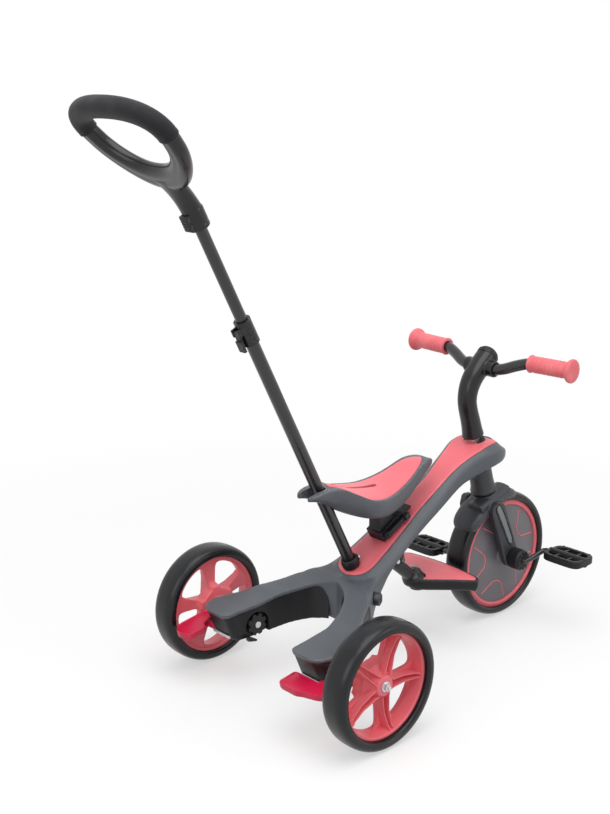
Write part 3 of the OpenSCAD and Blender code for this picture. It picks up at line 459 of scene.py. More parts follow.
def put_at(shape, origin, rows=np.eye(3)):
    """A shape moved from its own frame to an origin, its axes along the rows."""
    return shape[0] @ rows + np.array(origin, float), shape[1]


def heading(degrees):
    """Cosine and sine of an angle."""
    return math.cos(math.radians(degrees)), math.sin(math.radians(degrees))


def around(count):
    """So many angles, evenly round a full turn."""
    return np.linspace(0, 2 * math.pi, count, endpoint=False)


def lathe(profile, steps=96, radius=0.0):
    """Surface of revolution: the closed outline of rows [radius, height] carried round the Z axis by cosine and
    sine, with its corners softened by a radius."""
    outline = np.array(profile, float)
    if radius:
        outline = soften(outline, np.full(len(outline), float(radius)), 4)
    turn = around(steps)[:, None]
    far, high = outline.T
    high = np.broadcast_to(high, (steps, len(high)))
    return skin(np.stack([far * np.cos(turn), far * np.sin(turn), high], -1), True)


def cylinder(low, high, radius, steps=48, bore=0.0, soft=0.0):
    """A round bar or tube on the Z axis, from one height to another."""
    return lathe([[bore, low], [radius, low], [radius, high], [bore, high]], steps, soft)


def slab(outline, low, high):
    """A flat outline of rows [x, y] raised from one height to another."""
    outline = np.array(outline, float)
    level = np.ones((len(outline), 1))
    return skin(np.stack([np.hstack([outline, level * low]), np.hstack([outline, level * high])]))


def box_of(x, y, z):
    """An upright block from one x, y and z to another."""
    return slab([[x[0], y[0]], [x[1], y[0]], [x[1], y[1]], [x[0], y[1]]], *z)


ALONG_Y = np.array([[1, 0, 0], [0, 0, -1], [0, 1, 0]])
rear_radius = 108
knob_place = (140, -79, 166)
c, s = heading(30)
knob_rows = np.array([[c, s, 0], [0, 0, 1], [s, -c, 0]])
arm = arm_shape(lip=9)
knob_pocket = put_at(cylinder(-14, 40, 12.1), knob_place, knob_rows)
deck_mesh = formed("frame_deck", together(beam_shape(), arm, mirrored(arm)), 2.1, cuts=[knob_pocket])
piece("frame_deck", deck_mesh, frame_grey, "frame", ("frame_shell",), crease=50)

black_plastic = moulded("black_plastic", BLACK, 0.42, wear=0.25, specular_ior_level=0.32)
brake_room = [box_of((-40, 26), (66, 89.6), (70, 98)),
              box_of((-24, 24), (67, 89.2), (75, 110)),
              put_at(cylinder(66.5, 88.8, 24, 64), (0, 0, rear_radius), ALONG_Y),
              put_at(cylinder(131, 175, 5.4, 32), (-46, 0, 97), ALONG_Y),
              put_at(cylinder(60, 175, 11, 32), (0, 0, rear_radius), ALONG_Y)]
wall_mesh = formed("frame_walls", arm_shape(2.2), 2.1, cuts=brake_room)
wall_right = wall_mesh.copy()
wall_right.transform(Matrix.Scale(-1, 4, (0, 1, 0)))
wall_right.flip_normals()
form = bmesh.new()
form.from_mesh(wall_mesh)
form.from_mesh(wall_right)
form.to_mesh(wall_mesh)
form.free()
piece("frame_walls", wall_mesh, black_plastic, "frame", ("frame_ribs", "frame_base"), crease=50)


# ---- Panel, head tube and pole socket ----
# A coral panel of thin moulded plastic is snapped into the beam's top, flush but for a hairline seam. The head
# tube flares into the beam's underside and ends in a bearing ring, and a black socket in the panel holds the
# push pole, with a sprung steel button in a small boss.
coral = moulded("coral_plastic", CORAL, 0.4, wear=0.2, clouds=0.04)
dark_grey = moulded("dark_grey_plastic", DEEP_GREY, 0.44)


def leaning(degrees):
    """Rows that turn a frame so that its Z leans back and its X rises."""
    c, s = heading(degrees)
    return np.array([[c, 0, s], [0, 1, 0], [-s, 0, c]])


def unit(rows):
    """Rows scaled to length one."""
    return rows / np.linalg.norm(rows, axis=-1, keepdims=True)


def beside(way):
    """Unit vectors in a plane, square to the directions in it."""
    return unit(np.stack([way[:, 1], -way[:, 0]], -1))


def facing(direction, sideways=(1, 0, 0)):
    """Rows of a frame whose Z points along a direction and whose X lies as near as it can to another."""
    z = unit(np.array(direction, float))
    x = unit(np.array(sideways, float) - z * np.dot(sideways, z))
    return np.array([x, np.cross(z, x), z])


def power(value, n):
    """Signed power, which squares off a circle's cosine and sine."""
    return np.sign(value) * np.abs(value) ** n


def oval(half_x, half_y, n=1.0, count=48):
    """Superellipse of rows [x, y]: cosine and sine of the angle raised to a power, times the half sizes."""
    a = around(count)
    return np.stack([half_x * power(np.cos(a), n), half_y * power(np.sin(a), n)], -1)


def rod(path, radius, sides=24, hint=(1, 0, 0)):
    """Tube along a path of points: at each one a circle square to the path, radius a number or one a point."""
    path = np.array(path, float)
    way = unit(np.gradient(path, axis=0))
    side = unit(np.cross(way, np.array(hint, float)))
    up = np.cross(side, way)
    a = around(sides)[None, :, None]
    wide = np.broadcast_to(radius, (len(path),))[:, None, None]
    return skin(path[:, None] + wide * (np.cos(a) * side[:, None] + np.sin(a) * up[:, None]))


def rounded_copy(node, finish, body, bevel):
    """A piece made from a copy of a CAD node: triangles joined into flat faces, edges rounded in millimetres."""
    form = bmesh.new()
    form.from_mesh(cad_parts[node].data)
    bmesh.ops.remove_doubles(form, verts=form.verts, dist=2e-6)
    bmesh.ops.dissolve_limit(form, angle_limit=math.radians(0.6), verts=form.verts, edges=form.edges)
    mesh = bpy.data.meshes.new(node)
    form.to_mesh(mesh)
    form.free()
    piece(node, mesh, finish, body, bevel=bevel)


def at_fork(shape):
    """Steering frame, Z up the steerer from the front axle, to the tricycle's."""
    return put_at(shape, front_axle, leaning(17.6))


def at_pole(shape):
    """Pole frame, Z up the pole from the panel, to the tricycle's."""
    return put_at(shape, (147, 0, 208.6), leaning(27.3))


front_radius = 125
front_axle = (547, 0, front_radius)
UPRIGHT = np.array([[1, 0, 0], [0, 0, 1], [0, -1, 0]])

x = spread(134.8, 510.4, 90)
top = curve(x, beam_top) - panel_sink
half = np.maximum(np.minimum(curve(x, panel_half), curve(x, shoulder_half) - 1) - 0.1, 0.8)
panel_ring = rings_along([(half * 0.9, top - 3.4), (half, top - 2.6), (half, top - 0.4), (half * 0.97, top + 0.2),
                          (half * 0.7, top + 0.7), (half * 0.35, top + 1.1), (half * 0.02, top + 1.2)])
piece("top_panel", skin(across(x, panel_ring)), coral, "frame", crease=40)

head = lathe([[15, 144], [24, 144], [25.5, 146], [25.5, 150], [23.5, 153], [22.5, 165], [22.6, 190], [24, 208],
              [29, 224], [38, 236], [38, 244], [15, 244]], radius=1.5)
gusset = slab([[402, 306], [470, 330], [512, 300], [508, 280], [494, 274], [489, 284], [474, 291], [452, 297]],
              -7, 7)
head_mesh = formed("head_tube", together(at_fork(head), put_at(gusset, (0, 0, 0), UPRIGHT)), 1.4)
piece("head_tube", head_mesh, dark_grey, "frame", ("head_tube", "head_bushes"), crease=60)
seal = lathe([[13, 240], [23, 240], [24, 244], [22.5, 251], [20.5, 257.5], [13, 257.5]], radius=1.2)
piece("stem_seal", at_fork(seal), black_plastic, "frame")

button_rows = facing((*heading(-35), 0), (0, 0, 1))
socket = lathe([[11.3, -6], [15.6, -6], [16, 0], [16, 6], [15, 10], [13.4, 12], [11.3, 12.4]], radius=1.2)
boss = lathe([[4.3, 11.4], [6.4, 11.4], [6.4, 16], [5.6, 17], [4.3, 17]], 32, radius=0.6)
piece("pole_socket", at_pole(together(socket, put_at(boss, (0, 0, 5), button_rows))), black_plastic, "frame")


def steel(name, colour, roughness, stretch):
    """Zinc-plated steel: brushed along an axis, clouded with a faint yellow and blue, duller in blotches."""
    f = Finish(name, metallic=1.0)
    red, green, blue, _ = colour
    brush, cloud = f.grain(900, 2, stretch), f.grain(60, 3)
    base = f.mix(f.fade(cloud, 0.35, 0.65), (red * 0.96, green * 0.95, blue * 0.9, 1), (red, green, blue * 1.03, 1))
    gloss = roughness + (brush - 0.5) * 0.12 + f.fade(cloud, 0.55, 0.75) * 0.12
    return f.put(base_color=base, roughness=gloss, normal=f.bumps(brush, 0.02))


zinc_steel = steel("zinc_steel", shade(205, 206, 208), 0.28, (1, 0.08, 1))
button = lathe([[0, 13.8], [3.9, 13.8], [3.9, 18.6], [3.2, 19.5], [0, 19.7]], 32, radius=0.5)
piece("pole_button", at_pole(put_at(button, (0, 0, 5), button_rows)), zinc_steel, "pole_button")

knob = lathe([[0, -8], [11.7, -8], [11.7, 0.8], [10.4, 2.4], [7, 3], [0, 3]], 64, radius=1.2)
knob_ridges = [put_at(slab(oval(0.8, 7 - abs(k) * 0.5, 0.7, 24), 2, 3.9), (k * 2.6, 0, 0))
               for k in (-2, -1, 0, 1, 2)]
piece("release_knob", put_at(together(knob, *knob_ridges), knob_place, knob_rows), dark_grey, "release_knob")


# ---- Rear wheels ----
# A coral wheel moulded in one: a deep barrel, a web with five fan-shaped windows, a pair of ribs on each spoke and
# a hub with a drum inside. A black rubber tyre is stretched over it, and a zinc bolt and washer hold it on.
rear_side, rear_foot = 219, 89


def spun(shape, degrees):
    """A shape turned about its Z axis."""
    c, s = heading(degrees)
    return put_at(shape, (0, 0, 0), np.array([[c, s, 0], [-s, c, 0], [0, 0, 1]]))


def tyre(radius, foot, width):
    """Tyre outline round its axle: a squared half oval of tread over two straight walls, and a bead lip on the
    rim."""
    a = np.radians(np.linspace(0, 180, 49))
    crown = foot + 4 + (radius - foot - 4) * power(np.sin(a), 0.62)
    bead = np.array([[foot + 1.6, width * 0.47], [foot + 0.4, width * 0.43], [foot - 0.6, width * 0.38]])
    tread = np.stack([crown, -width / 2 * power(np.cos(a), 0.7)], -1)
    return lathe(np.concatenate([bead[::-1] * [1, -1], tread, bead]), 160)


def tyre_rubber():
    """Solid tyre rubber: nearly black, glossy on the crown with a fine moulding grain, dusty grey in faint
    patches and soft smears."""
    f = Finish("tyre_rubber", specular_ior_level=0.35)
    dust, fine, smear = f.grain(22, 4), f.grain(1100, 2), f.grain(40, 3, (1, 3, 1))
    base = f.mix(f.fade(dust, 0.5, 0.8) * 0.5, shade(20, 21, 24), shade(44, 45, 49))
    gloss = 0.26 + (fine - 0.5) * 0.1 + f.fade(dust, 0.45, 0.8) * 0.16 + f.fade(smear, 0.6, 0.8) * 0.08
    return f.put(base_color=base, roughness=gloss, normal=f.bumps(fine, 0.03, f.bumps(smear, 0.25)))


rubber = tyre_rubber()
web_front = [[17, 13], [20, 8], [24, 0], [30, -4], [36, -5], [84, -5]]
web_back = [[17, -29], [36, -27.5], [39, -25.5], [40.5, -17], [44, -15.5], [84, -14]]


def wheel_web():
    """The web and its windows: for each fifth a band between the window's edge, a rectangle of angle and radius
    squared off as a superellipse, and the fifth's own edge. It runs along the back, through the window's wall and
    along the front, and the radial edges meet the next fifth's."""
    side, one = np.linspace(-1, 1, 25)[:-1], np.ones(24)
    u, v = np.concatenate([side, one, -side, -one]), np.concatenate([-one, side, one, -side])
    squared = (np.abs(u) ** 5 + np.abs(v) ** 5) ** -0.2
    inner = np.stack([56.5 + 23.5 * v * squared, 25 * u * squared], -1)
    outer = np.stack([50.5 + 31.5 * v, 36 * u], -1)
    mix = np.array([1, 0.7, 0.4, 0.2, 0.08, 0.03, 0, 0, 0.03, 0.08, 0.2, 0.4, 0.7, 1])
    back = np.arange(14) < 7
    polar = inner + (outer - inner) * mix[:, None, None]
    edge = np.interp(mix, [0, 0.03, 0.08], [1.6, 0.5, 0])[:, None]
    far = polar[..., 0]
    height = np.where(back[:, None], curve(far, web_back) + edge, curve(far, web_front) - edge)
    count, last = len(u), (len(mix) - 1) * len(u)
    on_arc = [j for j in range(count) if abs(u[j]) < 1 or abs(u[(j + 1) % count]) < 1]
    joins = [[last + j, last + (j + 1) % count, (j + 1) % count, j] for j in on_arc]
    fifths = []
    for fifth in range(5):
        a = np.radians(polar[..., 1] + 72 * fifth)
        points, faces = skin(np.stack([far * np.cos(a), far * np.sin(a), height], -1))
        fifths.append((points, faces[:-2] + joins))
    return together(*fifths)


def spoke_rib(angle, side):
    """A thin rib on a spoke, tapering upwards: it starts at the hub away from the spoke's middle line and nears it
    towards the rim."""
    far = np.linspace(17, 82, 24)
    aside = side * (7.2 - (far - 20) * 0.06)
    low, top = -8, np.interp(far, [17, 24, 50, 74, 82], [12.4, 10.5, 7, 9.5, 13])
    section = ((-1.9, 0), (-1.2, 0.94), (-0.7, 1), (0.7, 1), (1.2, 0.94), (1.9, 0))
    ring = np.stack([np.stack([aside + out, low + (top - low) * up], -1) for out, up in section], 1)
    return spun(skin(across(far, ring)), angle)


barrel = lathe([[80.5, -14.5], [80.5, -5], [81.2, -2], [83.6, 13], [84.4, 15], [88.4, 15.2], [89.4, 14.2],
                [89.4, -18], [88.5, -19], [84.2, -19], [82.4, -16]], 160, radius=0.8)
hub = lathe([[6.2, 13.4], [15.5, 13.4], [18, 11.5], [19.6, 6], [20, -28], [17, -31], [16, -34], [16, -61],
             [15, -62], [6.2, -62]], 64, radius=1.2)
ribs = [spoke_rib(72 * k + 36, side) for k in range(5) for side in (-1, 1)]
wheel_shape = together(barrel, hub, wheel_web(), *ribs)
bolt = together(lathe([[0, 13.2], [9, 13.2], [9, 14.6], [8.4, 15.2], [0, 15.2]], 48, radius=0.3),
                lathe([[0, 15.2], [6.6, 15.2], [6.6, 19.6], [5.6, 20.6], [0, 21.4]], 6),
                lathe([[0, 19], [3.4, 19], [3.4, 23.2], [2.8, 23.8], [0, 23.8]], 24, radius=0.3))

for hand, turn in (("left", -60), ("right", -30)):
    body = "rear_wheel_" + hand
    for name, shape, finish, slot, crease in (
            ("rear_tyre_", tyre(rear_radius, rear_foot, 50), rubber, "tyre", 32),
            ("rear_rim_", spun(wheel_shape, turn), coral, "coral", 40),
            ("wheel_bolt_", bolt, zinc_steel, "zinc_steel", 32)):
        placed = on(hand, put_at(shape, (0, rear_side, rear_radius), ALONG_Y))
        piece(name + hand, placed, finish, body, crease=crease)
    rounded_copy("rear_axle_" + hand, zinc_steel, body, 0.4)


# ---- Brakes ----
# Crimson foot levers behind the arms, each a sloping moulded plate with a rolled edge, turning on a pin in the
# arm. A black finger inside the arm ends in a tooth that drops into the lobed black disc on the axle, which turns
# in a flanged black bearing tube.
crimson = moulded("brake_red_plastic", shade(206, 14, 66), 0.34, wear=0.3, clouds=0.08, grit=0.04)
plates = {"left": [[28, 36], [-38, 36], [-51, 28], [-58, 13], [-51, -10], [-45, -13], [-14, -13], [-12, -1],
                   [10, 9], [28, 9]],
          "right": [[28, 36], [-30, 36], [-40, 20], [-47, -8], [-52, -17], [-52, -52], [-48, -61], [-12, -61],
                    [-12, -1], [10, 9], [28, 9]]}


def pedal_plate(outline):
    """A plate with a rolled rim: the softened outline at six heights, drawn in towards its middle at the top and
    bottom, and let down a little inside the rim."""
    edge = soften(np.array(outline, float), np.full(len(outline), 7.0), 5)
    middle = edge.mean(axis=0)
    rim = ((0.06, -5), (0.012, -4.6), (0, -3.4), (0, 4), (0.012, 5.4), (0.04, 5.8), (0.075, 5.2), (0.1, 4.2))
    return skin(np.stack([np.column_stack([middle + (edge - middle) * (1 - inset), np.full(len(edge), float(high))])
                          for inset, high in rim]))


pivot = put_at(cylinder(0, 36, 5, 32, soft=0.6), (-46, 133, 97), ALONG_Y)
lug = put_at(slab(oval(7, 7, 0.6, 24), 159.5, 171), (-52, 0, 98), ALONG_Y)
finger = put_at(slab([[-20, 84], [-20, 89], [-7, 83.6], [-3, 80.9], [-0.9, 80.1], [-1.1, 77.6], [-3.4, 77.2],
                      [-20, 81]], -4, 4), (0, 84, 0), UPRIGHT)
for hand, outline in plates.items():
    plate = put_at(pedal_plate(outline), (-52, 152, 101.5), leaning(9))
    body = "brake_" + hand
    piece("brake_lever_" + hand, on(hand, together(plate, pivot, lug)), crimson, body, bevel=0.8,
          crease=35)
    piece("brake_rod_" + hand, on(hand, finger), black_plastic, body, bevel=0.5)
    rounded_copy("brake_disc_" + hand, black_plastic, "rear_wheel_" + hand, 0.7)
rounded_copy("axle_housings", black_plastic, "frame", 0.5)
rounded_copy("brake_pins", zinc_steel, "frame", 0.4)


# ---- Fork and mudguard ----
# Grey-black fork: two broad legs, a block and a round neck over the wheel, each leg with a raised rim round a paler
# snap-in inlay. A rounded black-grey mudguard arches over the wheel, and a steel steerer rises through the head.
def upright_slab(outline, y_low, y_high):
    """A slab whose outline of rows [x, z] stands upright, from one y to another."""
    return put_at(slab(outline, -y_high, -y_low), (0, 0, 0), UPRIGHT)


def leg_outline(low_radius, high_radius):
    """Outline round two circles, one at the axle and one at the leg's top: their far sides joined by straights."""
    low, high = np.linspace(-math.pi, 0, 20), np.linspace(0, math.pi, 20)
    return np.concatenate([np.stack([low_radius * np.cos(low), low_radius * np.sin(low)], -1),
                           np.stack([high_radius * np.cos(high) - 11, high_radius * np.sin(high) + 112], -1)])


legs = together(upright_slab(leg_outline(20, 19), 29.6, 42.4), upright_slab(leg_outline(17.8, 16.8), 29.6, 43.4))
crown_end = oval(19, 14, 0.6, 40) + [-11, 125]
crown = skin(np.stack([np.column_stack([np.full(40, x), crown_end]) for x in np.linspace(-43, 43, 30)]))
crown_neck = lathe([[12.5, 128], [27, 128], [25, 136], [24, 141], [12.5, 141]], 64, radius=1)
wheel_room = put_at(cylinder(-29, 29, 133.2, 128), front_axle, ALONG_Y)
axle_room = put_at(cylinder(-60, 60, 8.05), front_axle, ALONG_Y)
fork_mesh = formed("fork", at_fork(together(legs, mirrored(legs), crown, crown_neck)), 1.4, 5,
                   cuts=[wheel_room, axle_room])
piece("fork", fork_mesh, dark_grey, "steering", crease=45)

inlay_corners = np.array([[-22, 122], [-18, 130], [-8, 131], [-4, 124], [2, 100], [11, 40], [9, 30], [1, 27],
                          [-5, 34], [-19, 108]], float)
inlay_path = soften(inlay_corners, np.full(len(inlay_corners), 7.0), 6)


def inlay_rim(path, wide, low, high):
    """A raised rim round a path: a rounded section carried round it, kept square by the path's normal."""
    normal = beside(np.roll(path, -1, 0) - np.roll(path, 1, 0))
    section = [(0, low), (0, high - 1), (wide * 0.25, high), (wide * 0.75, high), (wide, high - 1), (wide, low)]
    rings = [path + normal * out for out, up in section]
    return skin(np.stack([np.stack([ring[:, 0], np.full(len(path), up), ring[:, 1]], -1)
                          for ring, (out, up) in zip(rings, section)], 1), True)


inlay_grey = moulded("inlay_grey_plastic", shade(128, 130, 134), 0.4, wear=0.15)
for name, shape, finish, slot, bevel in (
        ("fork_inlays", upright_slab(inlay_path, 42.5, 44.0), inlay_grey, "inlay_grey", 0.5),
        ("fork_rims", inlay_rim(inlay_path, 3.6, 42.5, 45.2), black_plastic, "black_plastic", 0)):
    piece(name, at_fork(together(shape, mirrored(shape))), finish, "steering", bevel=bevel)


def mudguard_shape():
    """Half-round hood: at each angle about the axle an arch, full in the middle and narrowing to a rounded lobe at
    both ends by a power of the distance from the middle, with an inner wall 2.4 mm under the outer one."""
    angle = np.linspace(74, 147.5, 61)
    away = np.abs((angle - angle.mean()) / 37)[:, None]
    wide, lift = 30.5 * (1 - away ** 7) ** 0.5 + 1.2, 1 - away ** 9
    t = np.radians(np.linspace(-90, 90, 25))
    across_arch, out_arch = power(np.sin(t), 0.8), power(np.cos(t), 0.5)
    walls = [((wide - thin) * across_arch[::way], 117.5 + (17 - thin) * out_arch[::way] * (0.35 + 0.65 * lift))
             for thin, way in ((0, 1), (2.4, -1))]
    y, far = (np.concatenate(part, 1) for part in zip(*walls))
    a = np.radians(angle)[:, None]
    return skin(np.stack([front_axle[0] + far * np.cos(a), y, front_axle[2] + far * np.sin(a)], -1))


piece("mudguard", mudguard_shape(), dark_grey, "steering", crease=50)
rounded_copy("steerer", zinc_steel, "steering", 0.5)
rounded_copy("fork_bushes", black_plastic, "steering", 0.4)


# ---- Front wheel, cranks and pedals ----
# Two dished grey discs on one hub, with raised coral lines in five brackets, inside a coral ring and a black rubber
# tyre. Black caps with radial slots cover the hub, and a bent black steel crank on each side carries a pedal.
def at_front(shape):
    """Front axle's frame, Z along Y, to the tricycle's."""
    return put_at(shape, front_axle, ALONG_Y)


piece("front_tyre", at_front(tyre(front_radius, 109, 49)), rubber, "front_wheel")
ring_side = [[98.6, -16], [99.5, -18.4], [101.5, -19.6], [104, -19.4], [106.5, -18], [109.2, -17.4]]
ring_profile = ring_side + [[far, -y] for far, y in ring_side[::-1]]
piece("front_ring", at_front(lathe(ring_profile, 160, radius=0.7)), coral, "front_wheel")
dish = [[5, 27], [16, 27], [19, 25], [22, 21], [40, 20.2], [60, 19.5], [98.8, 16]]
disc_profile = dish + [[far, -y] for far, y in dish[::-1]]
disc_grey = moulded("disc_grey_plastic", shade(112, 108, 114), 0.42, wear=0.2)
piece("front_discs", at_front(lathe(disc_profile, 160, radius=0.8)), disc_grey, "front_wheel")


def bracket_line(angle, side):
    """One bracket of raised line on a disc: from the rim in to a short crossing and out again, its corners
    softened, swept as a low half-round ridge that follows the disc's dish."""
    corners = np.array([[84, 36], [57, 13], [54, 0], [57, -13], [84, -36]], float)
    steps = np.linspace(0, 1, 12)[:-1, None]
    path = np.concatenate([a + (b - a) * steps for a, b in zip(corners[:-1], corners[1:])] + [corners[-1:]])
    path = np.concatenate([path[:1], (path[:-2] + path[1:-1] * 2 + path[2:]) / 4, path[-1:]])
    flat = spun((np.column_stack([path, 0 * path[:, 0]]), []), angle)[0][:, :2]
    high = curve(np.linalg.norm(flat, axis=1), dish) * side
    aside = beside(np.gradient(flat, axis=0))
    ridge = [(-1.25, -0.5), (-1.0, 0.45), (-0.4, 0.8), (0.4, 0.8), (1.0, 0.45), (1.25, -0.5)]
    return skin(np.stack([np.column_stack([flat + aside * out, high + up * side]) for out, up in ridge], 1))


lines = together(*(bracket_line(107 + 72 * k, side) for k in range(5) for side in (-1, 1)))
piece("front_disc_lines", at_front(lines), coral, "front_wheel", crease=50)
rounded_copy("front_axle", zinc_steel, "front_wheel", 0.4)


def black_enamel():
    """Black stove enamel on steel: deep gloss with a faint orange-peel swell and light scuffs."""
    f = Finish("black_enamel", coat_weight=0.35, coat_roughness=0.12)
    swell, dust = f.grain(220, 2), f.grain(40, 4)
    base = f.mix(f.fade(dust, 0.55, 0.8) * 0.4, shade(20, 20, 23), shade(42, 43, 47))
    gloss = 0.24 + f.fade(dust, 0.5, 0.8) * 0.14
    return f.put(base_color=base, roughness=gloss, normal=f.bumps(swell, 0.08))


enamel = black_enamel()
cap_slot = slab([[9.5, -1.1], [17.6, -1.6], [17.6, 1.6], [9.5, 1.1]], 69, 71.8)
cap_shape = together(
    lathe([[5.1, 45.5], [20, 45.5], [20.5, 47], [20.5, 66], [18.6, 69.6], [14, 71], [5.1, 71]], 96, radius=1),
    *(spun(cap_slot, 30 * k) for k in range(12)),
    lathe([[0, 66], [7.5, 66], [7.5, 72.2], [6.4, 73], [0, 73.4]], 48, radius=0.5))


def pedal_shape():
    """Pedal about its spindle: a rounded frame, a spindle tube, two cross bars and ten studs on the long sides."""
    outer, inner = oval(31, 42, 0.42, 72), oval(23.5, 34.5, 0.42, 72)
    section = [(0, -5.6), (0.12, -7), (0.88, -7), (1, -5.6), (1, 5.6), (0.88, 7), (0.12, 7), (0, 5.6)]
    rim = skin(np.stack([np.column_stack([outer + (inner - outer) * t, np.full(72, z)]) for t, z in section]), True)
    tube = lathe([[5.1, -42], [8.6, -42], [9, -41], [9, 41], [8.6, 42], [5.1, 42]], 48, radius=0.4)
    bars = [put_at(slab(oval(29, 2.4, 0.5, 24), -5.4, 5.4), (0, y, 0)) for y in (-14, 14)]
    studs = [put_at(lathe([[0, -7], [1.9, -7], [1.9, 7.4], [1.2, 7.9], [0, 7.9]], 16), (x, y, 0))
             for x in (-27.3, 27.3) for y in (-30, -15, 0, 15, 30)]
    return together(rim, put_at(tube, (0, 0, 0), ALONG_Y), *bars, *studs)


crank_bend = np.array([[0, 64], [0, 70], [2, 75], [8, 79.5], [20, 84], [32, 88], [38.5, 91.5], [41.5, 96.5],
                       [42, 103], [42, 120], [42, 185.5]])
for hand, turn in (("left", 208.4), ("right", 28.4)):
    c, s = heading(turn)
    x, z = front_axle[0] + crank_bend[:, 0] * c, front_axle[2] + crank_bend[:, 0] * s
    arm = rod(np.column_stack([x, crank_bend[:, 1], z]), 5, 32, hint=(-s, 0, c))
    pedal = put_at(pedal_shape(), (x[-1], 104.5 + 42, z[-1]))
    piece("crank_" + hand, on(hand, at_front(cap_shape)), black_plastic, "front_wheel", bevel=0.4)
    piece("spindle_" + hand, on(hand, arm), enamel, "front_wheel")
    piece("pedal_" + hand, on(hand, pedal), black_plastic, "pedal_" + hand, bevel=0.5)


# ---- Stem, handlebar and grips ----
# A black moulded stem climbs from the head and bends forward to clamp a bent black tube; a round cap closes it.
# Coral rubber grips with a flange at each end are pushed on the tube's ends.
stem_x = [[0, 467], [0.2, 459], [0.45, 447], [0.6, 448], [0.75, 458], [0.9, 479], [1, 499]]
stem_z = [[0, 377.5], [0.2, 405], [0.45, 444], [0.6, 467], [0.75, 489], [0.9, 511], [1, 527]]
stem_half_width = [[0, 20], [0.15, 18.5], [0.5, 18], [0.8, 19.5], [1, 20.5]]
stem_half_depth = [[0, 20], [0.15, 17.5], [0.5, 16], [0.8, 18], [1, 19.5]]


def stem_shape():
    """The stem's rings from t = 0 to 1: squared ovals, square to the middle line of cubics through two tables."""
    t = np.linspace(0.012, 1, 60)
    middle = np.stack([curve(t, stem_x), 0 * t, curve(t, stem_z)], -1)
    way = unit(np.gradient(middle, axis=0))
    forward = np.stack([-way[:, 2], 0 * t, way[:, 0]], -1)
    ring = oval(1, 1, 0.85, 64)
    deep, wide = curve(t, stem_half_depth)[:, None] * ring[:, 1], curve(t, stem_half_width)[:, None] * ring[:, 0]
    return skin(middle[:, None] + forward[:, None] * deep[..., None] + np.array([0, 1, 0]) * wide[..., None])


gloss_black = moulded("gloss_black_plastic", BLACK, 0.24, wear=0.2, clouds=0.1, grit=0.03, specular_ior_level=0.4)
clamp = lathe([[10.6, -34], [14.2, -34], [15, -33], [15, 33], [14.2, 34], [10.6, 34]], 64, radius=0.6)
stem_mesh = formed("stem", together(stem_shape(), put_at(clamp, (484, 0, 509), ALONG_Y)), 1.2, 5)
piece("stem", stem_mesh, gloss_black, "steering", crease=60)
cap = lathe([[0, -4], [20.4, -4], [21.2, -2.5], [21.2, 3.6], [20.2, 5.6], [18.4, 6.4], [18.2, 7.6], [17.4, 9.4],
             [13, 12.6], [0, 13.2]], 96, radius=0.8)
c, s = heading(52)
piece("stem_cap", put_at(cap, (499.5, 0, 527.5), facing((s, 0, c))), black_plastic, "steering")
y = np.linspace(-186, 186, 121)
bar_x = [[0, 484], [30, 484], [50, 487], [75, 495], [97, 501], [140, 504.5], [187, 508]]
bar_z = [[0, 509], [30, 509], [50, 512.5], [75, 522], [97, 528], [140, 529], [187, 529]]
bar = rod(np.column_stack([curve(np.abs(y), bar_x), y, curve(np.abs(y), bar_z)]), 10.5, 40)
piece("handlebar", bar, enamel, "steering")
grip_profile = [[10.6, 3], [15.2, 3], [16.6, 4.4], [16.6, 6.6], [15.2, 8.4], [14.8, 10]]
for k in range(7):
    grip_profile += [[15.4, 15 + 9 * k], [15.5, 20 + 9 * k], [14.9, 21.4 + 9 * k], [14.9, 22.6 + 9 * k]]
grip_profile += [[15.4, 81], [17.5, 84], [21, 86.6], [22, 89.6], [22, 91.6], [20.4, 93.6], [14, 94.8], [0, 95],
                 [0, 60], [10.6, 60]]


def grip_rubber():
    """Soft coral rubber: matt, with fine stipple and palm-polished patches."""
    f = Finish("coral_grip_rubber", sheen_weight=0.15)
    stipple, polish = f.grain(700, 2), f.grain(30, 3)
    base = f.mix(f.fade(polish, 0.4, 0.7), shade(232, 106, 114), shade(242, 122, 128))
    return f.put(base_color=base, roughness=0.55 - f.fade(polish, 0.5, 0.75) * 0.14, normal=f.bumps(stipple, 0.12))


coral_rubber = grip_rubber()
grip = put_at(lathe(grip_profile, 72, radius=0.8), (501, 97, 529), facing((7, 90, 0)))
for hand in ("left", "right"):
    piece("grip_" + hand, on(hand, grip), coral_rubber, "steering")


# ---- Saddle ----
# A grey moulded shell, deep in the belly with a narrow nose and a tail notched for the pole, carries a thin coral
# pad with one slim slot, dark inside. A black block under the shell slides on a rail on the beam and is held by a
# lever at its side.
seat_half = [[28, 3], [34, 14], [46, 23], [70, 27], [90, 29], [110, 41], [128, 57], [148, 65], [170, 63], [200, 54],
             [240, 43], [280, 33], [310, 26], [330, 18], [343, 10], [350, 1.5]]
seat_high = [[28, 355], [60, 362], [100, 361], [120, 351], [140, 341], [170, 335], [200, 333], [230, 337],
             [260, 346], [300, 363], [325, 366], [342, 361], [350, 352]]
seat_low = [[28, 349], [52, 345], [80, 332], [110, 314], [140, 301], [170, 292], [200, 288], [226, 291],
            [250, 298], [277, 312], [310, 334], [335, 345], [350, 350]]
pad_half = [[90, 3], [100, 13], [120, 35], [135, 51], [150, 57.5], [170, 55.5], [200, 47], [240, 37], [280, 27.5],
            [300, 20], [314, 11], [321, 2]]


